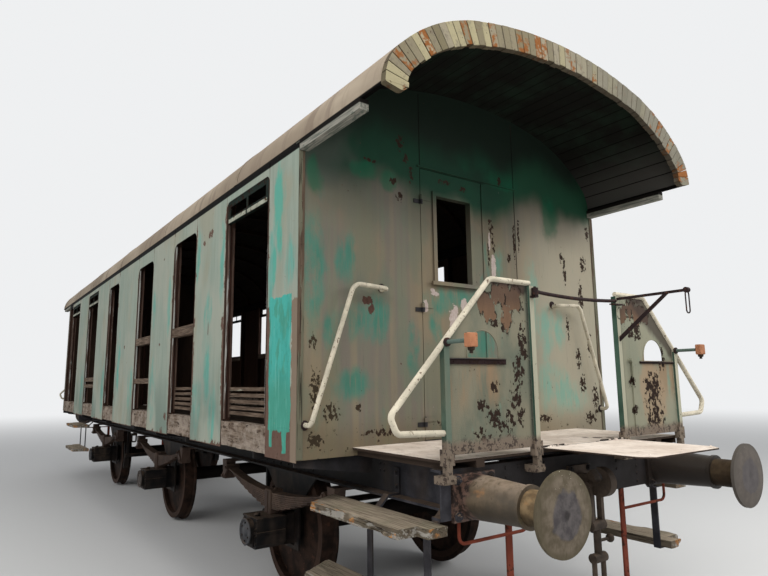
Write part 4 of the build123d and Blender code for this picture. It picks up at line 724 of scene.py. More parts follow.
record_slots = {part["node"]: part["material_slot"] for part in frame["record"]["subparts"]}
own_finish = {
    "leaf_springs": "spring_steel", "spring_brackets": "spring_steel", "roof_ribs": "roof_timber",
    "draw_hooks": "hook_iron", "screw_couplings": "hook_iron",
}
for node_name, node in frame["nodes"].items():
    node.data.materials.clear()
    node.data.materials.append(MATERIALS[own_finish.get(node_name, record_slots[node_name])])


# Mesh helpers

def link(name, data):
    """Puts new data into the scene as an object."""
    made = bpy.data.objects.new(name, data)
    bpy.context.scene.collection.objects.link(made)
    return made


def link_mesh(name, mesh, materials):
    """Makes an object of a finished bmesh."""
    data = bpy.data.meshes.new(name)
    mesh.to_mesh(data)
    mesh.free()
    for material in materials:
        data.materials.append(material)
    return link(name, data)


def piece(name, mesh, finishes, body=CHASSIS, angle=None):
    """A piece that rides on a body, smooth where its faces meet at less than an angle in degrees."""
    bmesh.ops.recalc_face_normals(mesh, faces=mesh.faces)
    mesh.normal_update()
    for face in mesh.faces:
        face.smooth = angle is not None
    for edge in mesh.edges:
        if angle and len(edge.link_faces) == 2:
            edge.smooth = edge.calc_face_angle(0) < math.radians(angle)
    found = link_mesh(name, mesh, [MATERIALS[finish] for finish in finishes])
    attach(found, body)
    return found


def wave(x, y, z):
    """Smooth noise of about -1 to 1 at a place."""
    return noise.noise(Vector((x, y, z)))


def ordered(one, two):
    """The lowest and the highest corner of the box between two points."""
    return [Vector([choose(pair) for pair in zip(one, two)]) for choose in (min, max)]


def facing(place, axis, lift=0):
    """Matrix that takes the Z axis to a place, along another axis and up it by a lift."""
    spin = Vector(axis).normalized().to_track_quat("Z", "Y").to_matrix().to_4x4()
    return Matrix.Translation(place) @ spin @ Matrix.Translation((0, 0, lift))


def circle(radius, segments):
    """Points round a circle."""
    turns = [math.tau * count / segments for count in range(segments)]
    return [(radius * math.cos(turn), radius * math.sin(turn)) for turn in turns]


def join_rings(mesh, rings, closed=False, index=0):
    """Skin over rings of points, capped unless they close on themselves; gives all its points."""
    rings = [[mesh.verts.new(point) for point in ring] for ring in rings]
    faces = [] if closed else [rings[0][::-1], rings[-1]]
    for one, two in zip(rings, rings[1:] + (rings[:1] if closed else [])):
        faces += zip(one, one[1:] + one[:1], two[1:] + two[:1], two)
    for face in faces:
        mesh.faces.new(face).material_index = index
    return [vert for ring in rings for vert in ring]


def add_box(mesh, one, two, bevel):
    """A box between two corners, with bevelled edges."""
    low, high = ordered(one, two)
    made = bmesh.ops.create_cube(mesh, size=1)["verts"]
    bmesh.ops.scale(mesh, vec=high - low, verts=made)
    edges = list({edge for vert in made for edge in vert.link_edges})
    faces = bmesh.ops.bevel(mesh, geom=edges, offset=bevel, segments=1, affect="EDGES")["faces"]
    made = list({vert for face in faces for vert in face.verts})
    bmesh.ops.translate(mesh, vec=(low + high) / 2, verts=made)


def add_cone(mesh, place, axis, size, sides, foot, top, depth, lift):
    """Short cone; its radii, depth and lift are shares of size."""
    bmesh.ops.create_cone(
        mesh, cap_ends=True, segments=sides, radius1=size * foot, radius2=size * top,
        depth=size * depth, matrix=facing(place, axis, size * lift),
    )


def add_bolt(mesh, place, axis, size, washer=True):
    """Hexagon head on a washer; axis points away from what it holds."""
    if washer:
        add_cone(mesh, place, axis, size, 12, 1.5, 1.45, 0.3, 0.15)
    add_cone(mesh, place, axis, size, 6, 1, 0.9, 0.9, 0.7)


def add_rivet(mesh, place, axis, size):
    """Low round head."""
    add_cone(mesh, place, axis, size, 8, 1, 0.55, 0.6, 0.25)


def add_turned(mesh, place, axis, profile, segments, closed=False, index=0):
    """Solid of revolution; profile rows are (distance along the axis, radius)."""
    base = facing(place, axis)
    rings = [[base @ Vector((*spot, distance)) for spot in circle(radius, segments)]
             for distance, radius in profile]
    join_rings(mesh, rings, closed, index)


def add_bead(mesh, points, radius, across):
    """Round bead along points that lie in the plane whose normal is across."""
    across = Vector(across)
    points = [Vector(point) for point in points]
    rings = []
    for point, before, after in zip(points, points[:1] + points, points[1:] + points[-1:]):
        out = (after - before).normalized().cross(across)
        rings.append([point + out * one + across * two for one, two in circle(radius, 8)])
    join_rings(mesh, rings)


def add_batten(mesh, one, two, wear, step, seed, index=0):
    """Strip between two corners, with worn edges along its longest side and uneven ends."""
    low, high = ordered(one, two)
    size = high - low
    along = max(range(3), key=lambda number: size[number])
    wide, deep = [number for number in range(3) if number != along]
    count = max(2, int(size[along] / step))
    rings = []
    for number in range(count + 1):
        ring = []
        for a, b in ((0, 0), (1, 0), (1, 1), (0, 1)):
            push = wear * (0.5 + 0.5 * wave(number * 0.73 + seed, a * 3.1 + seed, b * 5.3))
            more = wear * (0.5 + 0.5 * wave(number * 0.61 + 9, a * 2.3 + seed, b * 7.7 + seed))
            spot = Vector((0, 0, 0))
            spot[along] = low[along] + size[along] * number / count
            spot[along] += {0: 3, count: -3}.get(number, 0) * push
            spot[wide] = high[wide] - push if a else low[wide] + push
            spot[deep] = high[deep] - more if b else low[deep] + more
            ring.append(spot)
        rings.append(ring)
    join_rings(mesh, rings, False, index)


# Camera

FOCAL_PIXELS = 596.01


def build_camera():
    """The camera that was fitted to the photo."""
    yaw, pitch, roll = 2.5235, 0.1565, -0.0119
    level = math.cos(pitch)
    forward = Vector((math.cos(yaw) * level, math.sin(yaw) * level, math.sin(pitch)))
    flat = Vector((math.sin(yaw), -math.cos(yaw), 0))
    above = flat.cross(forward)
    right = flat * math.cos(roll) + above * math.sin(roll)
    top = above * math.cos(roll) - flat * math.sin(roll)
    data = bpy.data.cameras.new("camera")
    data.sensor_width = 36
    data.lens = FOCAL_PIXELS / 768 * data.sensor_width
    data.clip_end = 200
    camera = link("camera", data)
    turn = Matrix((right, top, -forward)).transposed().to_4x4()
    camera.matrix_world = Matrix.Translation((7.889, -3.127, 1.659)) @ turn
    bpy.context.scene.camera = camera


build_camera()


# Brake hoses between the pipe's cock and its holder on the headstock

HOSE_ROUTE = (
    (5.57, -0.30, 1.002), (5.65, -0.30, 1.002), (5.65, -0.29, 0.742),
    (5.65, -0.19, 0.742), (5.65, -0.17, 0.992), (5.56, -0.17, 0.992),
)
CLAMP = ((0, 0.019), (0, 0.0222), (0.002, 0.0232), (0.012, 0.0232), (0.014, 0.0222), (0.014, 0.019))


def brake_hose(name, end):
    points = [(end * x, end * y, z) for x, y, z in HOSE_ROUTE]
    curve = bpy.data.curves.new(name, "CURVE")
    curve.dimensions = "3D"
    curve.bevel_depth = 0.019
    curve.bevel_resolution = 5
    curve.resolution_u = 20
    curve.use_fill_caps = True
    line = curve.splines.new("NURBS")
    line.points.add(len(points) - 1)
    for point, place in zip(line.points, points):
        point.co = (*place, 1)
    line.use_endpoint_u = True
    line.order_u = 3
    line.use_smooth = True
    curve.materials.append(MATERIALS["hose_rubber"])
    hose = link(name, curve)
    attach(hose, CHASSIS)
    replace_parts(hose, "brake_hoses")
    mesh = bmesh.new()
    for x, y, z in ((5.578, -0.30, 1.0015), (5.568, -0.17, 0.9915)):
        add_turned(mesh, (end * x, end * y, z), (end, 0, 0), CLAMP, 28, True)
        x = end * (x + 0.007)
        y *= end
        add_box(mesh, (x - 0.006, y - 0.008, z - 0.036), (x + 0.006, y + 0.008, z - 0.020), 0.002)
    clamps = piece(name + "_clamps", mesh, ["grey_bolt"], angle=40)


brake_hose("front_brake_hose", 1)
brake_hose("rear_brake_hose", -1)


# Roof arch, from the same radii as the solids

ROOF_HALF = 1.475
EAVE_Z = 3.173
EAVE_R = 0.33
CROWN_Z = 3.853
CROWN_HALF = 0.8
CROWN_R = 3.12892


def roof_arch():
    """Arcs of half the arch as rows (centre y, centre z, radius, start, end), from the eave up."""
    crown_centre = CROWN_Z - CROWN_R
    rise = math.sqrt(CROWN_R ** 2 - CROWN_HALF ** 2)
    crown_angle = math.atan2(rise, CROWN_HALF)
    unit = Vector((CROWN_HALF / CROWN_R, rise / CROWN_R))
    eave = Vector((ROOF_HALF - EAVE_R, EAVE_Z))
    joint = Vector((CROWN_HALF, crown_centre + rise))
    to_eave = eave - joint
    radius = (to_eave.dot(to_eave) - EAVE_R ** 2) / (-2 * EAVE_R - 2 * to_eave.dot(unit))
    centre = joint - radius * unit
    haunch_angle = math.atan2(eave.y - centre.y, eave.x - centre.x)
    return (
        (eave.x, eave.y, EAVE_R, 0, haunch_angle),
        (centre.x, centre.y, radius, haunch_angle, crown_angle),
        (0, crown_centre, CROWN_R, crown_angle, math.pi / 2),
    )


ARCH = roof_arch()
WHOLE_ARCH = 2 * sum(radius * (end - start) for _, _, radius, start, end in ARCH)


def arch_point(distance, inset):
    """The (y, z) of a point some way along the arch from the -Y eave, sunk below the roof's skin."""
    sign = 1 if distance > WHOLE_ARCH / 2 else -1
    left = max(min(distance, WHOLE_ARCH - distance), 0)
    for centre_y, centre_z, radius, start, end in ARCH:
        length = radius * (end - start)
        if left <= length + 1e-9:
            angle = start + left / radius
            break
        left -= length
    reach = radius - inset
    return sign * (centre_y + reach * math.cos(angle)), centre_z + reach * math.sin(angle)


# Fascia: a row of short upright blocks at each end, uneven at their feet

BLOCKS = 58
FASCIA_DEPTH = 0.150
FASCIA_BACK = ROOF_END - 0.045


def fascia(name, end, seed):
    picks = random.Random(seed)
    mesh = bmesh.new()
    tone = mesh.verts.layers.float.new("tone")
    stain = mesh.verts.layers.float.new("stain")

    def add_block(faces, outline, shade, rust):
        rings = [[(end * x, end * y, z) for y, z in outline] for x in faces]
        for vert in join_rings(mesh, rings):
            vert[tone] = shade
            vert[stain] = rust

    rusty = 0
    for index in range(BLOCKS):
        near = WHOLE_ARCH * index / BLOCKS
        far = WHOLE_ARCH * (index + 1) / BLOCKS
        gap = 0.0010 + 0.0016 * picks.random()
        foot = FASCIA_DEPTH + picks.uniform(-0.008, 0.003)
        face = ROOF_END + picks.uniform(-0.0035, 0.0)
        shade = picks.random()
        rusty = max(0, rusty * 0.5 + (picks.random() - 0.62) * 1.6)
        spots = ((near + gap, 0.001), (near + gap, foot), (far - gap, foot), (far - gap, 0.001))
        add_block((FASCIA_BACK, face), [arch_point(*spot) for spot in spots], shade, min(rusty, 1))
    bmesh.ops.bevel(mesh, geom=mesh.edges[:], offset=0.0022, segments=1, affect="EDGES")
    # Carved foot that hangs below the eave, rounded on its inner corner
    tip = [(1.474, EAVE_Z + 0.004), (1.468, EAVE_Z - 0.003), (1.374, EAVE_Z - 0.024)]
    for turn in range(0, 100, 20):
        angle = math.radians(turn)
        tip.append((1.374 - 0.046 * math.sin(angle), EAVE_Z + 0.022 - 0.046 * math.cos(angle)))
    tip.append((1.327, EAVE_Z + 0.004))
    for side in SIDES:
        add_block((FASCIA_BACK, ROOF_END - 0.002), [(side * y, z) for y, z in tip], 0.86, 0.25)
    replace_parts(piece(name, mesh, ["fascia_wood"]), "roof_fascias")


fascia("fascia_blocks_front", 1, 5)
fascia("fascia_blocks_rear", -1, 6)


# Roof: laps of the canvas with a black strip of painted shadow beside each

def roof_strip(name, middle, width, lift, finish, waviness, seed):
    """Band across the roof from eave to eave."""
    rings = []
    for index in range(73):
        distance = 0.01 + (WHOLE_ARCH - 0.02) * index / 72
        rise = lift + max(0, wave(distance * 9, seed * 3.7, 0) * waviness)
        half = width / 2 - wave(distance * 23, seed * 1.3, 5) * waviness * 0.8
        foot = arch_point(distance, 0.001)
        y, z = arch_point(distance, -rise)
        top = (y, min(z, CROWN_Z - 0.0006))
        rings.append([
            (middle - half, *foot), (middle - half + 0.004, *top),
            (middle + half - 0.004, *top), (middle + half, *foot),
        ])
    mesh = bmesh.new()
    join_rings(mesh, rings)
    piece(name, mesh, [finish], angle=40)


for number, mark in enumerate((-4.45, -2.45, -0.45, 1.60, 3.58)):
    roof_strip("canvas_lap_" + str(number + 1), mark, 0.05, 0.0034, "roof_canvas", 0.0012, number)
    # Painted shadow: a black strip beside each lap, under its lifted edge.
    roof_strip(
        "canvas_lap_shadow_" + str(number + 1), mark + 0.031, 0.012, 0.0010, "black_gap", 0.0010, number + 20
    )


# Bottom sills: rotten where an opening leaves them bare

BODY_HALF = 4.63
STATIONS = 460
DEEPEST_ROT = 0.034


def sill_ring():
    """Rows (y, z, how far rot goes inward, how far down) round the sill's section."""
    tall = SILL_TOP - SILL_FOOT
    rows = [(1.484, SILL_FOOT + tall * count / 9, 1, 0) for count in range(10)]
    rows += [(1.484 - 0.084 * count / 6, SILL_TOP, 0, 1) for count in range(1, 7)]
    rows += [(1.400, SILL_TOP - tall * count / 4, -1, 0) for count in range(1, 5)]
    return rows + [(1.400 + 0.084 * count / 4, SILL_FOOT, 0, -0.2) for count in range(1, 4)]


def rotten_sills():
    mesh = bmesh.new()
    shape = sill_ring()
    for side in SIDES:
        rings = []
        for station in range(STATIONS + 1):
            x = -BODY_HALF + 2 * BODY_HALF * station / STATIONS
            mark = END - x
            bare = 0.25
            for start, width, _, _ in OPENINGS:
                bare = max(bare, min(1, 14 * min(mark - start, start + width - mark)))
            ring = []
            for y, z, inward, down in shape:
                fibre = abs(wave(x * 5, side * 7 + y * 60, z * 60))
                rot = max(0, wave(x * 2.6, side * 3 + y * 9, z * 9) + 0.12)
                pit = max(0, wave(x * 19, side + y * 31, z * 31) - 0.1)
                depth = bare * (0.001 + 0.007 * fibre + 0.026 * rot + 0.020 * pit)
                if y < 1.42:
                    depth *= 0.3
                if z > 1.36 and y > 1.46:
                    depth *= 1.7
                depth = min(depth, DEEPEST_ROT)
                if z > 1.37 and y > 1.47:
                    down = 0.8
                ring.append((x, side * (y - depth * inward), z - depth * down))
            rings.append(ring)
        join_rings(mesh, rings)
    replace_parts(piece("rotten_sills", mesh, ["rotten_sill"], angle=55), "bottom_sills")


rotten_sills()


# Step planks: split boards whose rims are broken

PLANKS = ((4.405, 5.515, 0.945), (4.335, 5.445, 0.528))
PLANK_INNER = 1.065
# Section of a plank as rows (share of the way out, level of the rim, drop below the top)
PLANK_ROWS = [(share, 0, 0) for share in (0, 0.14, 0.28, 0.42, 0.56, 0.69, 0.80, 0.89, 0.955, 1)]
PLANK_ROWS += [(1, 1, 0.016), (1, 2, 0.033), (1, 3, 0.049)]
PLANK_ROWS += [(share, 3, 0.050) for share in (0.8, 0.5, 0.2, 0)] + [(0, 2, 0.025)]


def plank_outer(x, x0, x1):
    """How far out the plank reaches at x: cut askew inside, broken off at the corner."""
    if x > x1 - 0.0905:
        return 1.195
    return min(1.315, 1.095 + max(0, x - x0) / 0.13 * 0.22)


def add_plank(mesh, edge, x0, x1, top, end, side, seed):
    marks = [x0 + (x1 - x0) * count / 120 for count in range(121)] + [x1 - 0.0906, x1 - 0.0900]
    rings = []
    rims = []
    for x in sorted(marks):
        outer = plank_outer(x, x0, x1)
        last = min(x - x0, x1 - x)
        worn = []
        for level in range(4):
            splinter = max(0, wave(x * 15, level * 0.9, seed * 2.7) + 0.05)
            fine = max(0, wave(x * 55, level * 1.7, seed * 4.1))
            chip = max(0, wave(x * 4.5, level * 0.4, seed * 6.3) - 0.12)
            worn.append(0.002 + 0.010 * splinter + 0.006 * fine + 0.055 * chip)
        ring = []
        for share, level, drop in PLANK_ROWS:
            inner = PLANK_INNER + 0.003 * max(0, wave(x * 20, level, seed))
            reach = outer - worn[level] * min(1, (outer - 1.095) * 8 + 0.2)
            y = inner + (reach - inner) * share
            z = top - drop
            rim = 1 if share == 1 else 0
            if drop == 0:
                groove = abs(wave(x * 1.3, y * 52, seed))
                z -= 0.0006 + 0.0034 * groove + max(0, share - 0.8) * 0.5 * worn[0]
                rim = max(0, (share - 0.78) / 0.22)
            frayed = 0
            if last < 0.004:
                frayed = 0.010 * abs(wave(y * 44, drop * 90, seed))
                rim = max(rim, 0.75)
            elif last < 0.03:
                rim = max(rim, 0.6 * (1 - last / 0.03))
            ring.append((end * (x + frayed if x - x0 < 0.01 else x - frayed), side * y, z))
            rims.append(rim)
        rings.append(ring)
    for vert, rim in zip(join_rings(mesh, rings), rims):
        vert[edge] = rim


def step_boards():
    mesh = bmesh.new()
    edge = mesh.verts.layers.float.new("edge")
    for seed, (corner, plank) in enumerate(product(CORNERS, PLANKS), 1):
        add_plank(mesh, edge, *plank, *corner, seed)
    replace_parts(piece("step_boards", mesh, ["step_wood"], angle=38), "step_planks")


step_boards()


# Leaf springs, leaf by leaf, with their eyes, buckles and pins

LEAVES = 9
LEAF = 0.014
SPRING_R = 4.3107
SPRING_HALF = 0.9
SPRING_Y = 0.975
BRACKET_FACE = 1.034
SPRING_CENTRE = 0.805 + SPRING_R
SPRING_EYE = ((0, 0.012), (0, 0.025), (0.002, 0.026), (0.088, 0.026), (0.090, 0.025), (0.090, 0.012))


def add_leaf(mesh, middle, side, index):
    near = SPRING_R + LEAF * index + 0.0005
    far = near + LEAF - 0.0010
    rings = []
    for number in range(19):
        share = number / 9 - 1
        angle = share * (SPRING_HALF - 0.092 * index) / SPRING_R
        pinch = 0.010 if abs(share) == 1 and index else 0
        y0 = 0.930 + pinch
        y1 = 1.020 - pinch
        rings.append([
            (middle + reach * math.sin(angle), side * y, SPRING_CENTRE - reach * math.cos(angle))
            for y, reach in (
                (y0 + 0.003, near), (y1 - 0.003, near), (y1, near + 0.003), (y1, far - 0.003),
                (y1 - 0.003, far), (y0 + 0.003, far), (y0, far - 0.003), (y0, near + 0.003),
            )
        ])
    join_rings(mesh, rings)


def leaf_springs():
    mesh = bmesh.new()
    for middle, side in product(AXLES, SIDES):
        out = (0, side, 0)
        for index in range(LEAVES):
            add_leaf(mesh, middle, side, index)
        for x, y, deep, foot, top, bevel in (
            (0.055, SPRING_Y, 0.057, 0.638, 0.825, 0.007), (0.016, BRACKET_FACE, 0.004, 0.650, 0.812, 0.003),
        ):
            y *= side
            add_box(mesh, (middle - x, y - deep, foot), (middle + x, y + deep, top), bevel)
        for x in (-0.034, 0.034):
            add_bolt(mesh, (middle + x, side * SPRING_Y, 0.825), (0, 0, 1), 0.010)
        for turn in (-1, 1):
            eye = (middle + turn * SPRING_HALF, side * 0.930, 0.900)
            add_turned(mesh, eye, out, SPRING_EYE, 22, True)
            for x, z in ((SPRING_HALF, 0.900), (0.98, 0.820)):
                x = middle + turn * x
                add_bolt(mesh, (x, side * BRACKET_FACE, z), out, 0.013)
                add_turned(mesh, (x, side * 0.914, z), out, ((0, 0.011), (0.120, 0.011)), 12)
    found = piece("spring_leaves", mesh, ["spring_steel"], angle=32)
    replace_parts(found, "leaf_springs")


leaf_springs()


# Axle boxes: parting flange, lid, round cover, bolts and filler cap

COVER_RIM = (
    (0, 0.082), (0, 0.098), (0.003, 0.101), (0.009, 0.101), (0.013, 0.096), (0.013, 0.088), (0.006, 0.082)
)
COVER_MIDDLE = ((-0.002, 0.084), (0.003, 0.080), (0.005, 0.040), (0.010, 0.034), (0.014, 0.022))
FILLER_CAP = ((0, 0.020), (0.014, 0.020), (0.016, 0.025), (0.026, 0.025), (0.030, 0.019), (0.034, 0.008))


def axle_box_fittings():
    mesh = bmesh.new()
    for middle, side in product(AXLES, SIDES):
        out = (0, side, 0)
        for shift, half, near, far, foot, top, bevel in (
            (0, 0.147, 0.934, 1.180, 0.519, 0.537, 0.003), (0, 0.141, 0.934, 1.176, 0.622, 0.6375, 0.003),
            (-0.072, 0.007, 1.168, 1.182, 0.424, 0.520, 0.002),
            (0.072, 0.007, 1.168, 1.182, 0.424, 0.520, 0.002),
        ):
            x = middle + shift
            add_box(mesh, (x - half, side * near, foot), (x + half, side * far, top), bevel)
        cover = (middle, side * 1.206, AXLE_Z)
        add_turned(mesh, cover, out, COVER_RIM, 36, True, 1)
        add_turned(mesh, cover, out, COVER_MIDDLE, 32, False, 1)
        for number in range(6):
            angle = math.tau * (number + 0.5) / 6
            place = (middle + 0.066 * math.cos(angle), side * 1.209, AXLE_Z + 0.066 * math.sin(angle))
            add_bolt(mesh, place, out, 0.008, False)
        for x, z in product((-0.114, 0.114), (0.448, 0.500, 0.556, 0.606)):
            add_bolt(mesh, (middle + x, side * 1.170, z), out, 0.009)
        add_turned(mesh, (middle + 0.03, side * 1.120, 0.632), (0, side * 0.35, 1), FILLER_CAP, 18)
    piece("axle_box_fittings", mesh, ["running_gear", "cover_grey"], angle=32)


axle_box_fittings()


# Rivets, nuts and bolts of the underframe and headstocks

SOLEBAR_FACE = 0.848


def frame_rivets():
    mesh = bmesh.new()
    for side in SIDES:
        out = (0, side, 0)
        for middle, x, z in product(AXLES, (-0.42, -0.28, -0.14, 0, 0.14, 0.28, 0.42), (1, 1.075, 1.150)):
            add_rivet(mesh, (middle + x, side * SOLEBAR_FACE, z), out, 0.013)
        for place, turn, x, z in product(
            (0.75, 1.65, 2.60, 4.05, 4.64), (-1, 1), (-0.02, 0.02), (1.10, 1.14, 1.18)
        ):
            add_rivet(mesh, (turn * place + x, side * SOLEBAR_FACE, z), out, 0.010)
        for turn, x, z in product((-1, 1), (4.81, 5.34), (1.025, 1.105)):
            add_bolt(mesh, (turn * x, side * 0.860, z), out, 0.012)
    for _, end in ENDS:
        out = (end, 0, 0)
        spots = [(y, 1.184) for y in (-0.52, 0.52, -0.30, 0.30)]
        for y, z in product((-0.62, -0.40, 0.40, 0.62), (0.992, 1.040, 1.088, 1.136, 1.184)):
            if abs(y) > 0.5 or z > 1.06:
                spots.append((y, z))
        for y, z in spots:
            add_rivet(mesh, (end * HEADSTOCK, y, z), out, 0.012)
        for side, y, z in product(SIDES, (-0.12, 0.12), (-0.09, 0.09)):
            place = (end * 5.520, side * BUFFER_Y + y, BUFFER_Z + z)
            add_bolt(mesh, place, out, 0.017)
            add_turned(mesh, place, out, ((0, 0.009), (0.026, 0.009), (0.028, 0.007)), 12)
        for side, z in product(SIDES, (-0.06, 0.06)):
            add_bolt(mesh, (end * 5.516, side * 0.085, BUFFER_Z + z), out, 0.014)
    piece("frame_rivets", mesh, ["frame_iron"], angle=30)


frame_rivets()


# Railings: rivets, bead round the hole, bolts of the feet, ledges, and bosses of the handrails

RAILING_FACE = 5.5605
POST_FACE = 5.576
LAMP_Y = 1.093
LAMP_Z = 1.858


def railing_rivets():
    mesh = bmesh.new()
    spots = [(y, z) for y, z in product((0.456, 1.064), [1.335 + 0.11 * count for count in range(8)])
             if y < 1 or z < 1.80]
    spots += [(0.55, 2.180), (0.65, 2.180)]
    spots += [(0.545 + 0.095 * count, 1.312) for count in range(6)]
    arch = [(0.941, 1.783), (0.941, 1.800)]
    for count in range(17):
        angle = math.pi * count / 16
        arch.append((0.823 + 0.118 * math.cos(angle), 1.813 + 0.118 * math.sin(angle)))
    arch += [(0.705, 1.800), (0.705, 1.783)]
    for end, side in CORNERS:
        out = (end, 0, 0)
        for y, z in spots:
            add_rivet(mesh, (end * RAILING_FACE, side * y, z), out, 0.0068)
        for y in (0.425, LAMP_Y):
            for shift, z, size in ((-0.026, 1.172, 0.010), (0.026, 1.172, 0.010), (0, 1.282, 0.009)):
                add_bolt(mesh, (end * POST_FACE, side * y + shift, z), out, size)
        add_bead(mesh, [(end * 5.5615, side * y, z) for y, z in arch], 0.0042, out)
    piece("railing_rivets", mesh, ["railing_paint"], angle=35)


railing_rivets()


def rail_bosses():
    mesh = bmesh.new()
    for end, side in CORNERS:
        out = (end, 0, 0)
        for y, z in ((1.434, 1.411), (0.868, 2.277)):
            boss = ((0, 0.030), (0.004, 0.030), (0.006, 0.026), (0.010, 0.018))
            add_turned(mesh, (end * END, side * y, z), out, boss, 18)
            for turn in (-0.022, 0.022):
                add_rivet(mesh, (end * 4.684, side * y + turn, z), out, 0.0045)
        socket = ((0, 0.023), (0.010, 0.023), (0.013, 0.018))
        add_turned(mesh, (end * 5.5762, side * LAMP_Y, LAMP_Z), out, socket, 16)
    piece("rail_bosses", mesh, ["dark_paint"], angle=35)


rail_bosses()


def railing_ledges():
    mesh = bmesh.new()
    for seed, (end, side) in enumerate(CORNERS, 81):
        foot = 1.746 if side * end < 0 else 1.762
        for low, high, proud, wear, step, more, index in (
            (foot, 1.776, 5.5690, 0.0012, 0.04, 0, 0), (1.774, 1.779, 5.5745, 0.0007, 0.05, 9, 1),
        ):
            one = (end * RAILING_FACE, side * 0.652, low)
            add_batten(mesh, one, (end * proud, side * 1.073, high), wear, step, seed + more, index)
        for count in range(4):
            place = (end * 5.569, side * (0.71 + 0.11 * count), (foot + 1.776) / 2)
            add_rivet(mesh, place, (end, 0, 0), 0.005)
    piece("railing_ledges", mesh, ["ledge_iron", "grey_bolt"])


railing_ledges()


def side_lamps():
    mesh = bmesh.new()
    for end, side in CORNERS:
        y = side * LAMP_Y
        arm = ((0, 0.011), (0.150, 0.011), (0.152, 0.016), (0.160, 0.016))
        add_turned(mesh, (end * POST_FACE, y, LAMP_Z), (end, 0, 0), arm, 16, False, 1)
        add_box(mesh, (end * 5.735, y - 0.030, 1.823), (end * 5.777, y + 0.030, 1.893), 0.005)
        socket = ((0, 0.009), (0.012, 0.009), (0.016, 0.017), (0.031, 0.019))
        add_turned(mesh, (end * 5.756, y, 1.793), (0, 0, 1), socket, 14, False, 2)
    lamps = piece("side_lamps", mesh, ["lamp_paint", "post_grey", "black_gap"], angle=35)
    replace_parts(lamps, "lamp_brackets")


side_lamps()


# Openings: battens and channels of the lost windows, bars of the ventilators

def window_battens():
    seed = 3
    mesh = bmesh.new()
    for side, (start, width, head, hood), turn in product(SIDES, OPENINGS, (-1, 1)):
        face = END - start - (0.025 if turn < 0 else width - 0.025)
        top = head - (0.182 if hood else 0.015)
        for y0, y1, proud, index in (
            (1.468, 1.481, 0.011, 1), (1.449, 1.462, 0.004, 2), (1.428, 1.443, 0.009, 0)
        ):
            seed += 1
            foot = (1.392 if side < 0 else 2.172) + 0.05 * abs(wave(seed * 1.7, 0, 0))
            tip = top - 0.12 * max(0, wave(seed * 2.3, 4, 0))
            one = (face, side * y0, foot)
            add_batten(mesh, one, (face + turn * proud, side * y1, tip), 0.0012, 0.07, seed, index)
    piece("window_battens", mesh, ["mould_timber", "batten_pale", "batten_dark"])
    mesh = bmesh.new()
    hoods = [start for start, _, _, hood in OPENINGS if hood]
    for side, start, bar in product(SIDES, hoods, ((0.045, 0.395, 2.897), (0.425, 0.760, 2.900))):
        near, far, low = bar
        seed += 1
        one = (END - start - near, side * 1.4835, low)
        add_batten(mesh, one, (END - start - far, side * 1.4878, low + 0.030), 0.0010, 0.04, seed)
    piece("ventilator_bars", mesh, ["hood_pale"])


window_battens()


# End walls: rebates that the closed doors lie against, corner strips, drip strips, dark joints and
# the doors' cover strips

def strip_rows(mesh, end, x0, x1, rows, wear, step, seed, index=0):
    """Battens on an end wall; a row is (low y, high y, low z, high z) at the near end."""
    for y0, y1, z0, z1 in rows:
        add_batten(mesh, (end * x0, end * y0, z0), (end * x1, end * y1, z1), wear, step, seed, index)


def end_trim():
    stops = bmesh.new()
    strips = bmesh.new()
    joints = bmesh.new()
    seed = 40
    for _, end in ENDS:
        strip_rows(stops, end, 4.598, 4.636, (
            (-0.560, 0.475, 3.160, 3.215), (-0.560, -0.518, 1.265, 3.160), (0.098, 0.130, 1.265, 3.160),
        ), 0.0006, 0.25, 70)
        for side in SIDES:
            seed += 1
            y = side * end
            corner = (y * 1.446, y * 1.4872, 1.214, 3.107)
            strip_rows(strips, end, 4.6795, 4.6865, [corner], 0.0015, 0.08, seed)
            for count in range(14):
                add_rivet(strips, (end * 4.686, side * 1.466, 1.28 + 0.136 * count), (end, 0, 0), 0.0050)
        strip_rows(strips, end, 4.6795, 4.690, [(-0.545, 0.480, 3.193, 3.206)], 0.001, 0.06, seed, 1)
        strip_rows(joints, end, 4.679, 4.6812, [
            (y - 0.0035, y + 0.0035, low, high)
            for y, low, high in ((0.462, 1.264, 3.188), (0.462, 3.206, 3.76), (-0.5175, 3.206, 3.76))
        ], 0.0005, 0.05, seed)
    piece("door_stops", stops, ["batten_dark"])
    piece("corner_strips", strips, ["corner_timber", "end_paint"])
    piece("wall_joints", joints, ["black_gap"])
    for name, end in ENDS:
        mesh = bmesh.new()
        strip_rows(mesh, end, 4.6805, 4.6875, [(0.088, 0.136, 1.275, 3.178)], 0.0010, 0.07, 60)
        for count in range(9):
            add_rivet(mesh, (end * 4.687, end * 0.112, 1.36 + 0.21 * count), (end, 0, 0), 0.0048)
        piece(name + "_door_cover_strip", mesh, ["door_paint"], body=name + "_door")


end_trim()


# Fall plates: countersunk rivets on top and at the hinges

PLATE_TOP = 1.289


def fall_plate_rivets():
    for name, end in ENDS:
        mesh = bmesh.new()
        for y in (-0.345, -0.28, -0.215, 0.215, 0.28, 0.345):
            add_rivet(mesh, (end * 5.592, y, PLATE_TOP), (0, 0, 1), 0.008)
        for y in (-0.30, 0, 0.30):
            add_rivet(mesh, (end * 6.165, y, PLATE_TOP), (0, 0, 1), 0.007)
        body = name + "_fall_plate"
        piece(body + "_rivets", mesh, ["deck_cover"], body=body, angle=35)


fall_plate_rivets()


# Floor, backdrop and light

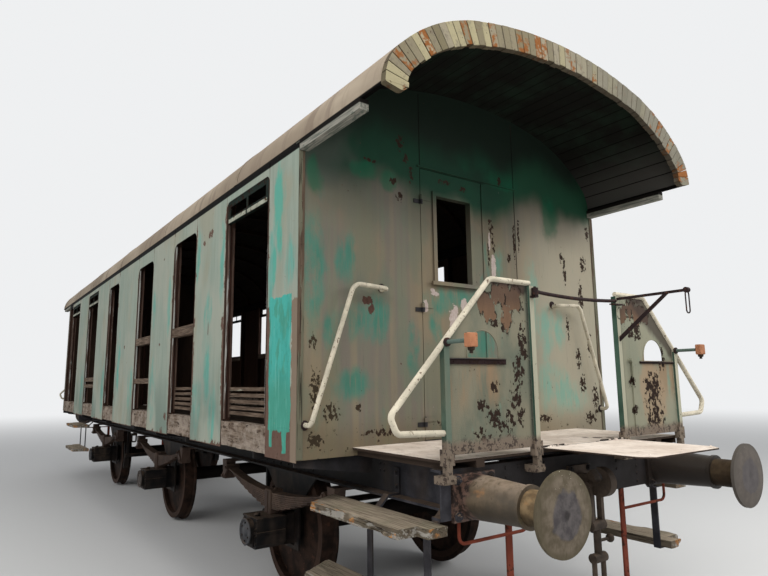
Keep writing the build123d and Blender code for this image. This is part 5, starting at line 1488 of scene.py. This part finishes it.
BACKDROP = (0.86, 0.87, 0.88, 1)
FLOOR = (0.60, 0.60, 0.595, 1)


def build_stage():
    """Pale floor that fades into the backdrop far from the coach."""
    mesh = bmesh.new()
    bmesh.ops.create_grid(mesh, x_segments=1, y_segments=1, size=90)
    paint = bpy.data.materials.new("floor")
    tree = Tree(paint)
    surface = tree.nodes["Principled BSDF"]
    surface.inputs["Base Color"].default_value = FLOOR
    surface.inputs["Roughness"].default_value = 0.95
    place = tree.add("ShaderNodeTexCoord", {}, "Object")
    reach = tree.add("ShaderNodeVectorMath", {0: place}, "Value", operation="LENGTH")
    glow = tree.add("ShaderNodeEmission", {"Color": BACKDROP})
    far = reach.step(7, 34) * tree.plain_rays()
    tree.show("Material Output", far, Value(tree, surface.outputs[0]), glow)
    link_mesh("floor", mesh, [paint])


def build_world():
    """Soft light for the coach and the plain backdrop for the camera."""
    world = bpy.data.worlds.new("world")
    bpy.context.scene.world = world
    tree = Tree(world)
    soft = tree.add("ShaderNodeBackground", {"Color": (0.95, 0.97, 1, 1), "Strength": 0.5})
    shown = tree.add("ShaderNodeBackground", {"Color": BACKDROP, "Strength": 1})
    tree.show("World Output", tree.plain_rays(), soft, shown)


def area_light(name, place, target, size, power, colour=(1, 1, 1)):
    data = bpy.data.lights.new(name, "AREA")
    data.shape = "RECTANGLE"
    data.size, data.size_y = size
    data.energy = power
    data.color = colour
    aim = (Vector(target) - Vector(place)).to_track_quat("-Z", "Y").to_matrix().to_4x4()
    link(name, data).matrix_world = Matrix.Translation(place) @ aim


build_stage()
build_world()
area_light("key", (9, -9, 8), (2, 0, 1.8), (8, 6), 470, (1, 0.98, 0.95))
area_light("side", (-2, -11, 6), (0, 0, 1.8), (10, 5), 250)
area_light("right", (10, 7, 6), (4, 0, 1.8), (7, 5), 520, (1, 0.99, 0.97))
area_light("above", (8.8, -1.5, 9), (5.4, -0.2, 1.2), (5, 5), 430, (1, 0.98, 0.95))
bpy.context.scene.view_settings.view_transform = "Standard"
